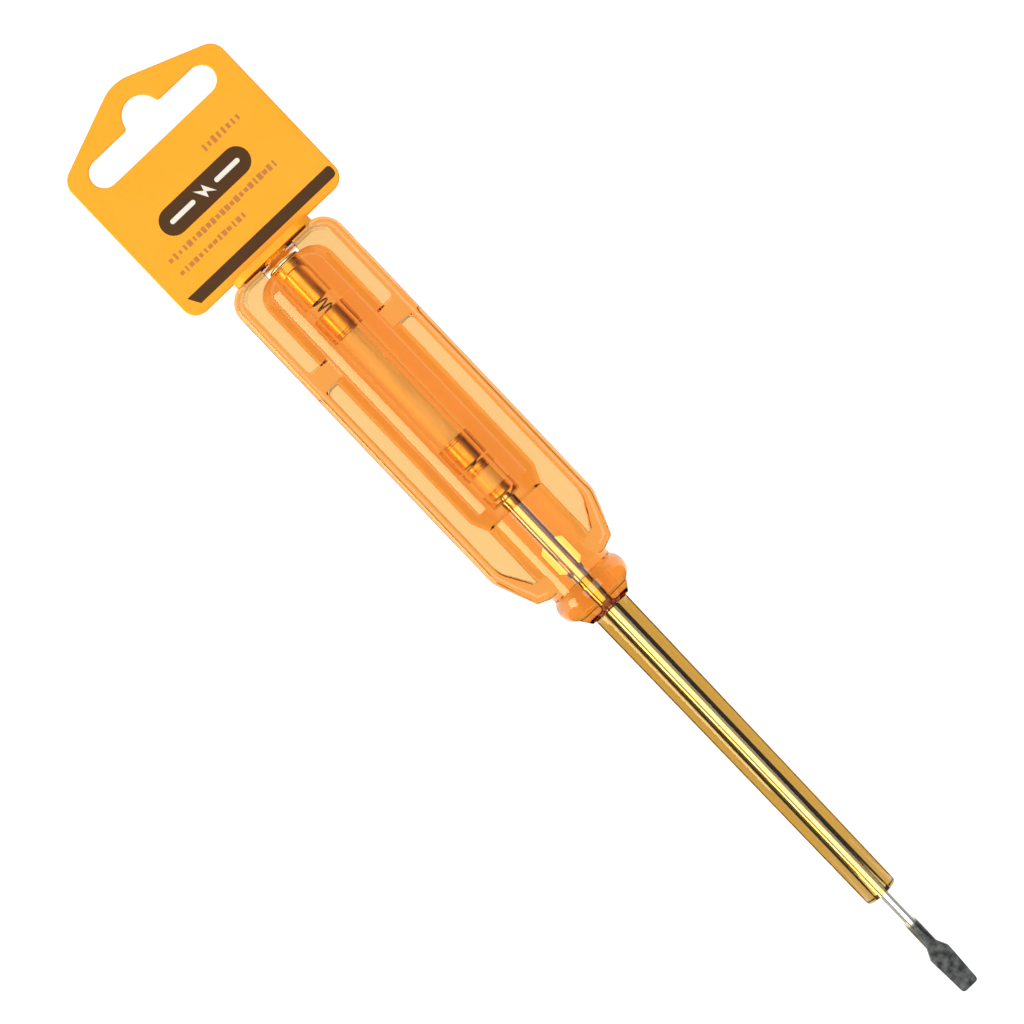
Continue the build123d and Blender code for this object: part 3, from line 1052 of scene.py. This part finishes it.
@dataclass
class Grip:
    """The handle moulding, the insulating sleeve and the blade.

    Attributes:
        frame: The tool's frame.
        bore_stations: Stations between which the handle's bore doesn't show, in millimetres.
        bore_reach: Distance from the axis within which it doesn't, in metres.
        socket_stations: Stations between which the sleeve's socket doesn't show, in millimetres.
        socket_reach: Distance from the axis within which it doesn't, in metres.
        wall_margin: How far past the sleeve's own inner walls they are hidden, in metres.
        blade_inset: How far the blade's faces are drawn in, in metres.
        dark_tip_station: Station where the blade's dark tip begins, in millimetres.
        sleeve_bore: Radius of the sleeve's bore, in metres.
        sleeve_plug: Radius of its plug, in metres.
        sleeve_taper: How much thinner its free end is in radius, in metres.
        sleeve_shoulder_station: Station of the shoulder in front of its plug, in millimetres.
        root_fillet: Rounding of the shoulder's edge, in metres.
        end_fillet: Rounding of its free end, in metres.
    """

    frame: ToolFrame
    bore_stations: tuple[float, float] = (2.72, 86.02)
    bore_reach: float = 2.78 * MM
    socket_stations: tuple[float, float] = (85.9, 94.15)
    socket_reach: float = 3.3 * MM
    wall_margin: float = 0.05 * MM
    blade_inset: float = 0.012 * MM
    dark_tip_station: float = 178.5
    sleeve_bore: float = 1.36 * MM
    sleeve_plug: float = 3.18 * MM
    sleeve_taper: float = 0.4 * MM
    sleeve_shoulder_station: float = 94.25
    root_fillet: float = 0.25 * MM
    end_fillet: float = 0.75 * MM

    def handle(self) -> None:
        """Makes the clear amber handle, whose bore and socket walls don't show."""
        frame = self.frame
        bore = BondedWall(*map(frame.at, self.bore_stations), self.bore_reach, frame.axis_z)
        socket = BondedWall(*map(frame.at, self.socket_stations), self.socket_reach, frame.axis_z)
        piece = frame.welded("handle", HANDLE_AMBER.material([bore, socket]))
        settle(piece, Body.GRIP, ["handle"], "amber_handle_plastic")

    def sleeve(self) -> None:
        """Turns the tapered sleeve with its rounded end."""
        start, end, root = self.frame.span("blade_sleeve")
        tip = root - self.sleeve_taper
        shoulder = self.frame.at(self.sleeve_shoulder_station)
        profile = filleted(
            [
                Corner((start + end) / 2, self.sleeve_bore),
                Corner(start, self.sleeve_bore, 0.1 * MM),
                Corner(start, self.sleeve_plug, 0.2 * MM),
                Corner(shoulder, self.sleeve_plug, 0.05 * MM),
                Corner(shoulder, root, self.root_fillet),
                Corner(end, tip, self.end_fillet),
                Corner(end, self.sleeve_bore, 0.2 * MM),
                Corner((start + end) / 2 + 0.1 * MM, self.sleeve_bore),
            ]
        )
        frame = self.frame
        plug = BondedWall(start - 0.1 * MM, shoulder, self.sleeve_plug + self.wall_margin, frame.axis_z)
        bore = BondedWall(start, end - 0.02 * MM, self.sleeve_bore + self.wall_margin, frame.axis_z)
        material = SLEEVE_AMBER.material([plug, bore])
        piece = new_piece("blade_sleeve_body", turned(profile, frame.axis_z), material)
        settle(piece, Body.GRIP, ["blade_sleeve"], "amber_sleeve_plastic")

    def blade(self) -> None:
        """Makes the steel blade, a hair inside the plastic that grips it."""
        tip_start = self.frame.at(self.dark_tip_station)
        # the dark tip colour 242525 is partly painted shade, and its lighter blotches 626563 are partly
        # painted highlights
        steel = BladeSteel("plated_blade_steel", "F0EEE8", "242525", "626563", tip_start)
        piece = self.frame.welded("blade", steel.material(), self.blade_inset)
        settle(piece, Body.GRIP, ["blade"], "blade_steel")

    def build(self) -> None:
        """Builds the whole grip."""
        self.handle()
        self.sleeve()
        self.blade()


def plate(outline: Sequence[tuple[float, float]], low: float, high: float) -> bpy.types.Mesh:
    """Makes a flat closed plate.

    Args:
        outline: The plate's outline in plan, in order.
        low: Height of its lower face.
        high: Height of its upper face.

    Returns:
        The plate's mesh.
    """
    shell = bmesh.new()
    floor = [shell.verts.new((x, y, low)) for x, y in outline]
    roof = [shell.verts.new((x, y, high)) for x, y in outline]
    shell.faces.new(floor)
    shell.faces.new(roof)
    for k in range(len(outline)):
        after = (k + 1) % len(outline)
        shell.faces.new([floor[k], floor[after], roof[after], roof[k]])
    bmesh.ops.recalc_face_normals(shell, faces=shell.faces)
    mesh = bpy.data.meshes.new("plate")
    shell.to_mesh(mesh)
    shell.free()
    return mesh


def pill(x: float, y: float, across: float, along: float, steps: int = 12) -> list[tuple[float, float]]:
    """Outline of a bar with round ends, long in Y.

    Args:
        x: Middle of the bar.
        y: Middle of the bar.
        across: Width of the bar in X.
        along: Length of the bar in Y.
        steps: Points on each round end, less one.

    Returns:
        The outline's points.
    """
    radius, reach = across / 2, (along - across) / 2
    points = []
    for end, turn in ((y + reach, 0.0), (y - reach, math.pi)):
        for step in range(steps + 1):
            angle = turn + math.pi * step / steps
            points.append((x + radius * math.cos(angle), end + radius * math.sin(angle)))
    return points


@dataclass
class HangTag:
    """The yellow tag with its black strip, plain badge and rows of fine print.

    Attributes:
        frame: The tool's frame.
        ink: How far the ink sinks into the face, and the black ink stands above it, in metres.
        pale_rise: How far the pale ink stands above the face, as a multiple of that.
        face_rise: Height of the plate's upper face above the tool's axis, in metres.
        strip_stations: Stations of the strip's long sides, in millimetres.
        strip_ends: Where the strip ends along Y, in metres.
        strip_skew: How much less its front side reaches at one end, in metres.
        strip_turn: Size of the cut corners at its other end, in metres.
        badge_station: Station of the badge's middle, in millimetres.
        badge_y: Place of its middle along Y, in metres.
        badge_size: Its size along X and Y, in metres.
        bolt: Outline of the bolt in its middle, in millimetres.
        bolt_stretch: Scale of the bolt along Y.
        bar_offset: Distance of the badge's bars from its middle, in metres.
        bar_size: Their size along X and Y, in metres.
    """

    frame: ToolFrame
    ink: float = 0.04 * MM
    pale_rise: float = 1.8
    face_rise: float = 0.6 * MM
    strip_stations: tuple[float, float] = (-5.7, -3.25)
    strip_ends: tuple[float, float] = (-18.2 * MM, 19.6 * MM)
    strip_skew: float = 1.4 * MM
    strip_turn: float = 0.9 * MM
    badge_station: float = -18.5
    badge_y: float = -1.3 * MM
    badge_size: tuple[float, float] = (5.9 * MM, 22.6 * MM)
    bolt: tuple[tuple[float, float], ...] = (
        (-1.4, 0.2), (1.5, 1.4), (0.2, 0.1), (1.4, -0.2), (-1.5, -1.4), (-0.2, -0.1)
    )
    bolt_stretch: float = 1.3
    bar_offset: float = 5.9 * MM
    bar_size: tuple[float, float] = (1.0 * MM, 6.4 * MM)

    def printed(
        self, name: str, outline: Sequence[tuple[float, float]], finish: Surface, lift: float
    ) -> None:
        """Prints one shape on the tag's upper face.

        Args:
            name: The piece's name.
            outline: Its outline in plan.
            finish: Its ink.
            lift: How far its face stands above the tag's, in metres.
        """
        mesh = plate(outline, self.face - self.ink, self.face + lift)
        settle(new_piece(name, mesh, finish.material()), Body.TAG, [], "yellow_tag_plastic")

    @property
    def face(self) -> float:
        """Height of the plate's upper face."""
        return self.frame.axis_z + self.face_rise

    def build(self) -> None:
        """Makes the tag and prints it."""
        at = self.frame.at
        body = self.frame.welded("hang_tag", TAG_YELLOW.material())
        settle(body, Body.TAG, ["hang_tag"], "yellow_tag_plastic")
        left, right = map(at, self.strip_stations)
        low, high = self.strip_ends
        turn = self.strip_turn
        strip = [
            (left, low),
            (right, low + self.strip_skew),
            (right, high - turn),
            (right - 0.3 * turn, high - 0.3 * turn),
            (right - turn, high),
            (left + 0.5 * turn, high),
            (left, high - 0.5 * turn),
        ]
        self.printed("tag_strip", strip, PRINT_BLACK, self.ink)
        badge_x, badge_y = at(self.badge_station), self.badge_y
        self.printed("tag_badge", pill(badge_x, badge_y, *self.badge_size), PRINT_BLACK, self.ink)
        pale_lift = self.pale_rise * self.ink
        outline = [(badge_x + x * MM, badge_y + y * self.bolt_stretch * MM) for x, y in self.bolt]
        self.printed("tag_badge_bolt", outline, PRINT_PALE, pale_lift)
        for name, side in (("upper", 1), ("lower", -1)):
            bar = pill(badge_x, badge_y + side * self.bar_offset, *self.bar_size)
            self.printed(f"tag_badge_bar_{name}", bar, PRINT_PALE, pale_lift)
        rows = {
            "tag_print_rear": PrintedRow(at(-24.6), 3.8 * MM, 14.0 * MM, 1.9 * MM, 3),
            "tag_print_middle": PrintedRow(at(-13.2), -16.0 * MM, 13.8 * MM, 1.5 * MM, 5),
            "tag_print_front": PrintedRow(at(-10.0), -16.0 * MM, 1.9 * MM, 1.5 * MM, 8),
        }
        for name, row in rows.items():
            ink = PRINT_BROWN.material()
            piece = new_piece(name, row.mesh(self.face, ink), ink)
            settle(piece, Body.TAG, [], "yellow_tag_plastic")


@dataclass
class TouchContact:
    """The screwed-in brass plug with its washer and its spring.

    Attributes:
        frame: The tool's frame.
        seat_station: Station of the underside of the plug's head, in millimetres.
        thread_station: Station where the ridge of the thread starts, in millimetres.
        root_end_station: Station where the thread's root ends, in millimetres.
        thread_turns: Turns of the thread's ridge.
        thread_pitch: Its pitch, in metres.
        thread_root: Radius of the thread's root, in metres.
        thread_ridge: Radius of the ridge's own section, in metres.
        shank: Radius of the plain shank, in metres.
        hollow: Radius of the hollow in the shank's end, in metres.
        hollow_depth: Depth of that hollow, in metres.
        slot_width: Width of the slot in the head, in metres.
        slot_depth: Depth of the slot at the head's middle, in metres.
        spring_turns: Turns of the spring.
        spring_wire: Radius of the spring's wire, in metres.
        cartridge_travel: How far the cartridge comes back against the spring, in metres; not used.
    """

    frame: ToolFrame
    seat_station: float = 2.4
    thread_station: float = 2.8
    root_end_station: float = 5.0
    thread_turns: float = 4.4
    thread_pitch: float = 0.5 * MM
    thread_root: float = 2.28 * MM
    thread_ridge: float = 0.2 * MM
    shank: float = 2.3 * MM
    hollow: float = 1.75 * MM
    hollow_depth: float = 3.0 * MM
    slot_width: float = 0.9 * MM
    slot_depth: float = 0.6 * MM
    spring_turns: float = 4.0
    spring_wire: float = 0.18 * MM
    cartridge_travel: float = 1.0 * MM

    def button(self) -> None:
        """Turns the plug, cuts the slot in its head and winds its thread."""
        frame = self.frame
        start, end, head = frame.span("contact_button")
        seat, root_end = frame.at(self.seat_station), frame.at(self.root_end_station)
        profile = filleted(
            [
                Corner(start, 0.0),
                Corner(start, 0.45 * head, 1.2 * MM),
                Corner(start + 0.5 * MM, 0.93 * head, 0.4 * MM),
                Corner(start + 0.7 * MM, head, 0.1 * MM),
                Corner(seat, head, 0.08 * MM),
                Corner(seat, self.thread_root, 0.0),
                Corner(root_end, self.thread_root, 0.0),
                Corner(root_end + 0.1 * MM, self.shank, 0.0),
                Corner(end, self.shank, 0.15 * MM),
                Corner(end, self.hollow, 0.1 * MM),
                Corner(end - self.hollow_depth, self.hollow, 0.1 * MM),
                Corner(end - self.hollow_depth, 0.0),
            ]
        )
        piece = new_piece("contact_button_body", turned(profile, frame.axis_z), TURNED_BRASS.material())
        slot = bpy.data.meshes.new("head_slot")
        cutter = bmesh.new()
        box = Matrix.Diagonal((2 * self.slot_depth, 2.4 * head, self.slot_width, 1.0))
        bmesh.ops.create_cube(cutter, size=1.0, matrix=Matrix.Translation((start, 0, frame.axis_z)) @ box)
        cutter.to_mesh(slot)
        cutter.free()
        tool = bpy.data.objects.new("head_slot", slot)
        bpy.context.scene.collection.objects.link(tool)
        cut = piece.modifiers.new("head_slot", "BOOLEAN")
        cut.operation, cut.object, cut.solver = "DIFFERENCE", tool, "EXACT"
        graph = bpy.context.evaluated_depsgraph_get()
        mesh = bpy.data.meshes.new_from_object(piece.evaluated_get(graph), depsgraph=graph)
        bpy.data.objects.remove(piece)
        bpy.data.objects.remove(tool)
        piece = new_piece("contact_button_body", mesh, TURNED_BRASS.material())
        settle(piece, Body.CONTACT, ["contact_button"], "contact_brass")
        ridge = Coil(
            start=frame.at(self.thread_station),
            length=self.thread_turns * self.thread_pitch,
            turns=self.thread_turns,
            radius=self.thread_root,
            wire=self.thread_ridge,
            sides=6,
            axis_z=frame.axis_z,
        )
        thread = new_piece("contact_thread", ridge.mesh(TURNED_BRASS.material()), TURNED_BRASS.material())
        settle(thread, Body.CONTACT, [], "contact_brass")

    def spring(self) -> None:
        """Winds the spring between the plug and the lamp."""
        start, end, outer = self.frame.span("contact_spring")
        wire = self.spring_wire
        coil = Coil(
            start=start + wire,
            length=end - start - 2 * wire,
            turns=self.spring_turns,
            radius=outer - wire,
            wire=wire,
            sides=12,
            axis_z=self.frame.axis_z,
        )
        piece = new_piece("contact_spring_wire", coil.mesh(SPRING_WIRE.material()), SPRING_WIRE.material())
        settle(piece, Body.CONTACT, ["contact_spring"], "spring_steel")
        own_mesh(piece)

    def build(self) -> None:
        """Builds the plug, the washer and the spring."""
        self.button()
        self.spring()
        washer = self.frame.welded("contact_washer", WASHER_FIBRE.material())
        settle(washer, Body.CARRIAGE, ["contact_washer"], "washer_fibre")


@dataclass
class Cartridge:
    """The neon lamp and the resistor, which lie loose in the bore.

    Attributes:
        frame: The tool's frame.
        sheet: Thickness of the caps' brass, in metres.
        groove: Depth of the rolled groove at a cap's mouth, in metres.
        hair: How far pieces that touch are drawn apart, in metres.
        tube_wall: Thickness of the lamp's glass, in metres.
        stem: Length of the solid glass at each end of the lamp, in metres.
        rod_ends: Radius of the resistor's ends, as a share of its middle's.
    """

    frame: ToolFrame
    sheet: float = 0.22 * MM
    groove: float = 0.08 * MM
    hair: float = 0.01 * MM
    tube_wall: float = 0.4 * MM
    stem: float = 3.4 * MM
    rod_ends: float = 0.97

    def cap(self, node: str, floor: float, mouth: float, radius: float, slot: str) -> None:
        """Presses one brass cap with a rounded floor and a rolled mouth.

        Args:
            node: The cap's node.
            floor: X of the cap's closed end.
            mouth: X of its open end.
            radius: Its outer radius.
            slot: The record's material slot.
        """
        way = math.copysign(1.0, mouth - floor)
        inner = radius - self.sheet
        profile = filleted(
            [
                Corner(floor, 0.0),
                Corner(floor, radius, 0.35 * MM),
                Corner(mouth - way * 0.9 * MM, radius, 0.1 * MM),
                Corner(mouth - way * 0.75 * MM, radius - self.groove, 0.1 * MM),
                Corner(mouth - way * 0.45 * MM, radius - self.groove, 0.1 * MM),
                Corner(mouth - way * 0.3 * MM, radius, 0.1 * MM),
                Corner(mouth, radius, 0.08 * MM),
                Corner(mouth, inner, 0.05 * MM),
                Corner(floor + way * self.sheet, inner, 0.1 * MM),
                Corner(floor + way * self.sheet, 0.0),
            ]
        )
        piece = new_piece(f"{node}_shell", turned(profile, self.frame.axis_z), CAP_BRASS.material())
        settle(piece, Body.CARTRIDGE, [node], slot)

    def glass(self) -> None:
        """Blows the lamp's tube, with a rounded press of glass at each end."""
        start, end, radius = self.frame.span("lamp_glass")
        outer, inner, stem = radius - self.hair, radius - self.tube_wall, self.stem
        shell = filleted(
            [
                Corner(start, 0.0),
                Corner(start, outer, 1.0 * MM),
                Corner(end, outer, 1.0 * MM),
                Corner(end, 0.0),
            ]
        )
        hollow = filleted(
            [
                Corner(start + stem + 1.2 * MM, 0.0),
                Corner(start + stem, 0.8 * inner, 0.4 * MM),
                Corner(start + stem - 0.6 * MM, inner, 0.3 * MM),
                Corner(end - stem + 0.6 * MM, inner, 0.3 * MM),
                Corner(end - stem, 0.8 * inner, 0.4 * MM),
                Corner(end - stem - 1.2 * MM, 0.0),
            ]
        )
        wall = bmesh.new()
        wall.from_mesh(turned(shell, self.frame.axis_z))
        inside = turned(hollow, self.frame.axis_z)
        inside.flip_normals()
        wall.from_mesh(inside)
        mesh = bpy.data.meshes.new("lamp_tube")
        wall.to_mesh(mesh)
        wall.free()
        tube = new_piece("lamp_glass_tube", mesh, LAMP_GLASS.material())
        settle(tube, Body.CARTRIDGE, ["lamp_glass"], "lamp_glass")

    def solder(self, node: str, cap_face: float) -> None:
        """Drops a round bead of solder on a cap.

        Args:
            node: The bead's node.
            cap_face: X of the cap's outer face.
        """
        low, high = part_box(node)
        radius = (high.y - low.y) / 2
        top = low.x if abs(high.x - cap_face) < abs(low.x - cap_face) else high.x
        rise = top - cap_face
        steps = 8
        angles = [math.pi / 2 * k / steps for k in range(steps + 1)]
        arc = [(cap_face + rise * math.cos(a), radius * math.sin(a)) for a in angles]
        profile = arc + [(cap_face - 0.3 * rise, radius * 0.9), (cap_face - 0.3 * rise, 0.0)]
        piece = new_piece(f"{node}_bead", turned(profile, self.frame.axis_z, 32), SOLDER.material())
        settle(piece, Body.CARTRIDGE, [node], "solder")

    def resistor(self) -> None:
        """Makes the lacquered rod, a little fuller at its middle."""
        start, end, radius = self.frame.span("resistor_core")
        steps = 24
        profile = [(start, 0.0)]
        for step in range(steps + 1):
            t = step / steps
            fullness = self.rod_ends + (1 - self.rod_ends) * math.sin(math.pi * t)
            profile.append((start + (end - start) * t, radius * fullness))
        profile.append((end, 0.0))
        piece = new_piece("resistor_rod", turned(profile, self.frame.axis_z), RESISTOR_LACQUER.material())
        settle(piece, Body.CARTRIDGE, ["resistor_core"], "resistor_carbon")

    def build(self) -> None:
        """Builds the lamp, then the resistor."""
        self.glass()
        for node in ("lamp_cap_rear", "lamp_cap_front", "resistor_cap_rear", "resistor_cap_front"):
            start, end, radius = self.frame.span(node)
            floor, mouth = (start, end) if node.endswith("rear") else (end, start)
            self.cap(node, floor, mouth, radius, "cap_brass")
        rear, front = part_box("lamp_cap_rear")[0].x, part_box("lamp_cap_front")[1].x
        self.solder("lamp_solder_rear", rear)
        self.solder("lamp_solder_front", front)
        self.resistor()
        for end in ("rear", "front"):
            for node, finish, slot in (
                ("lamp_electrode", PALE_PAINTED_ELECTRODE, "electrode_nickel"),
                ("lamp_lead", LEAD_WIRE, "lead_wire"),
                ("lamp_cement", CEMENT, "cap_cement"),
            ):
                name = f"{node}_{end}"
                piece = self.frame.welded(name, finish.material(), self.hair)
                settle(piece, Body.CARTRIDGE, [name], slot)


# ---------------------------------------------------------------- studio
def board(name: str, base: str, glow: float) -> bpy.types.Material:
    """Makes a matt board that may also glow evenly.

    Args:
        name: The material's name.
        base: Its colour, sRGB hex.
        glow: Strength of its own white light.

    Returns:
        The material, or the one already there.
    """
    if name in bpy.data.materials:
        return bpy.data.materials[name]
    material = bpy.data.materials.new(name)
    material.use_nodes = True
    tree = material.node_tree
    tree.nodes.clear()
    shader = add_node(
        tree,
        "ShaderNodeBsdfPrincipled",
        {
            "Base Color": linear(base),
            "Roughness": 0.9,
            "Specular IOR Level": 0.0,
            "Emission Color": linear("FFFFFF"),
            "Emission Strength": glow,
        },
    )
    add_node(tree, "ShaderNodeOutputMaterial", {"Surface": shader.outputs["BSDF"]})
    return material


@dataclass(frozen=True)
class Card:
    """A card beside or under the tool, mirrored on its other side and hidden from the camera.

    Attributes:
        name: Its name.
        span: Stations where it starts and ends, in millimetres.
        section: Points (Y, Z) of its flat or bent section, in millimetres.
        base: Its colour, sRGB hex.
        glow: Strength of its own white light.
        in_reflections: Whether plain reflections show it too.
    """

    name: str
    span: tuple[float, float]
    section: tuple[tuple[float, float], ...]
    base: str
    glow: float = 0.0
    in_reflections: bool = True


@dataclass
class Studio:
    """Glowing floor, hidden cards, soft lamps and the camera over the tool.

    Attributes:
        frame: The tool's frame.
        aim_station: Station under the middle of the view, in millimetres.
        aim_y: Place across the tool under the middle of the view, in millimetres.
        view_width: Width of the view at the tool's axis, in millimetres.
        roll: How far the tool's axis points below the view's horizontal, in degrees.
        lens: Focal length, in millimetres.
        sensor: Width of the camera's sensor, in millimetres.
        nearest: Closest distance that the camera sees, in metres.
        floor_size: Size of the floor's grid, in metres.
        floor_drop: How far the floor lies below what stands on it, in metres.
        air_lights: Strength with which the surroundings light the tool.
        air_shows: Strength with which the camera sees them.
        overhead_side: Distance of each overhead lamp from the tool's line, in metres.
        overhead_height: Height of the overhead lamps, in metres.
        overhead_size: Their size, in metres.
        strip_place: Where the warm side lamp hangs, in metres.
        strip_size: Its size, in metres.
        lamp_power: Power of each lamp, in watts.
        bounces: How often light may bounce, which clear plastic round glass needs.
        cards: The hidden cards.
    """

    frame: ToolFrame
    aim_station: float = 67.6
    aim_y: float = -1.1
    view_width: float = 198.7
    roll: float = 46.4
    lens: float = 100.0
    sensor: float = 36.0
    nearest: float = 0.05
    floor_size: float = 8.0
    floor_drop: float = 0.02 * MM
    air_lights: float = 0.4
    air_shows: float = 1.0
    overhead_side: float = 0.37
    overhead_height: float = 1.2
    overhead_size: tuple[float, float] = (1.2, 0.6)
    strip_place: tuple[float, float, float] = (-0.1, -0.75, 0.24)
    strip_size: tuple[float, float] = (0.6, 0.38)
    lamp_power: float = 6.5
    bounces: int = 24
    cards: tuple[Card, ...] = (
        Card("sleeve_flag", (95.0, 171.5), ((6.5, 0.05), (60.0, 0.05), (60.0, 28.0)), "0C0A08"),
        Card("sleeve_card", (95.0, 171.5), ((0.0, 0.05), (6.5, 0.05)), "202020", 0.8),
        Card("handle_flag", (3.0, 93.0), ((24.0, 0.05), (60.0, 0.05), (60.0, 28.0)), "0C0A08", 0.0, False),
    )

    def floor(self) -> None:
        """Lays the floor, a hair below what stands on it."""
        shell = bmesh.new()
        bmesh.ops.create_grid(shell, x_segments=1, y_segments=1, size=self.floor_size)
        bmesh.ops.translate(shell, verts=shell.verts, vec=(0, 0, -self.floor_drop))
        mesh = bpy.data.meshes.new("floor")
        shell.to_mesh(mesh)
        shell.free()
        mesh.materials.append(board("pale_board", "808080", 1.0))
        floor = bpy.data.objects.new("floor", mesh)
        bpy.context.scene.collection.objects.link(floor)
        floor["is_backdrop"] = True

    def flags(self) -> None:
        """Places the hidden cards: dark ones for dark lines in the steel, a glowing one for the sleeve."""
        for card in self.cards:
            for side, sign in (("left", 1.0), ("right", -1.0)):
                shell = bmesh.new()
                rows = [
                    [shell.verts.new((x, sign * y * MM, z * MM)) for y, z in card.section]
                    for x in map(self.frame.at, card.span)
                ]
                for k in range(len(card.section) - 1):
                    shell.faces.new([rows[0][k], rows[1][k], rows[1][k + 1], rows[0][k + 1]])
                mesh = bpy.data.meshes.new(f"{card.name}_{side}")
                shell.to_mesh(mesh)
                shell.free()
                mesh.materials.append(board(f"{card.name}_board", card.base, card.glow))
                flag = bpy.data.objects.new(mesh.name, mesh)
                bpy.context.scene.collection.objects.link(flag)
                flag.visible_camera = flag.visible_diffuse = flag.visible_shadow = False
                flag.visible_glossy = card.in_reflections
                flag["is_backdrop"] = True

    def lamp(
        self, name: str, place: Vector, target: Vector, size: tuple[float, float], power: float
    ) -> bpy.types.Object:
        """Hangs one soft lamp.

        Args:
            name: Its name.
            place: Where its middle is.
            target: What it faces.
            size: Its width and height, in metres.
            power: Its power, in watts.

        Returns:
            The lamp.
        """
        data = bpy.data.lights.new(name, "AREA")
        data.shape, data.size, data.size_y = "RECTANGLE", size[0], size[1]
        data.energy = power
        lamp = bpy.data.objects.new(name, data)
        lamp.location = place
        lamp.rotation_euler = (place - target).to_track_quat("Z", "Y").to_euler()
        bpy.context.scene.collection.objects.link(lamp)
        return lamp

    def lights(self) -> None:
        """Sets two soft overhead lamps, a warm side lamp and pale surroundings."""
        world = bpy.data.worlds.new("studio_air")
        world.use_nodes = True
        tree = world.node_tree
        tree.nodes.clear()
        path = add_node(tree, "ShaderNodeLightPath")
        strength = add_node(
            tree,
            "ShaderNodeMath",
            {0: path.outputs["Is Camera Ray"], 1: self.air_shows - self.air_lights, 2: self.air_lights},
            operation="MULTIPLY_ADD",
        )
        air = add_node(
            tree, "ShaderNodeBackground", {"Color": linear("F4F6F8"), "Strength": strength.outputs["Value"]}
        )
        add_node(tree, "ShaderNodeOutputWorld", {"Surface": air.outputs["Background"]})
        bpy.context.scene.world = world
        for name, side in (("overhead_left", 1.0), ("overhead_right", -1.0)):
            below = Vector((0.0, side * self.overhead_side, 0.0))
            place = below + Vector((0.0, 0.0, self.overhead_height))
            self.lamp(name, place, below, self.overhead_size, self.lamp_power)
        centre = Vector((0.0, 0.0, 0.0))
        strip = self.lamp("side_strip", Vector(self.strip_place), centre, self.strip_size, self.lamp_power)
        strip.data.color = linear("FFEDB4")[:3]

    def camera(self) -> None:
        """Puts the camera square above the tool, turned by its roll."""
        data = bpy.data.cameras.new("camera")
        data.sensor_width, data.lens = self.sensor, self.lens
        camera = bpy.data.objects.new("camera", data)
        height = self.frame.axis_z + self.view_width * MM * self.lens / self.sensor
        camera.location = (self.frame.at(self.aim_station), self.aim_y * MM, height)
        camera.rotation_euler = (0.0, 0.0, math.radians(self.roll))
        data.clip_start = self.nearest
        bpy.context.scene.collection.objects.link(camera)
        bpy.context.scene.camera = camera

    def build(self) -> None:
        """Builds the studio."""
        self.camera()
        self.floor()
        self.flags()
        self.lights()
        scene = bpy.context.scene
        scene.view_settings.view_transform = "Standard"
        scene.cycles.max_bounces = self.bounces
        scene.cycles.transmission_bounces = self.bounces
        scene.cycles.transparent_max_bounces = self.bounces
        scene.cycles.caustics_refractive = True
        scene.cycles.caustics_reflective = False


def main() -> dict[str, list[list[float]]]:
    """Builds the studio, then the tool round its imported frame.
    """
    logging.basicConfig(level=logging.INFO, format="%(name)s %(message)s")
    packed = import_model()
    sizes = {"cad": [list(corner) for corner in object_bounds()]}
    frame = ToolFrame.read(packed["nodes"])
    Studio(frame).build()
    for part in (Grip(frame), HangTag(frame), TouchContact(frame), Cartridge(frame)):
        part.build()
        LOG.info("%s done", type(part).__name__)
    sizes["visual"] = [list(corner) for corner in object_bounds()]
    return sizes


if __name__ == "__main__":
    measured = main()
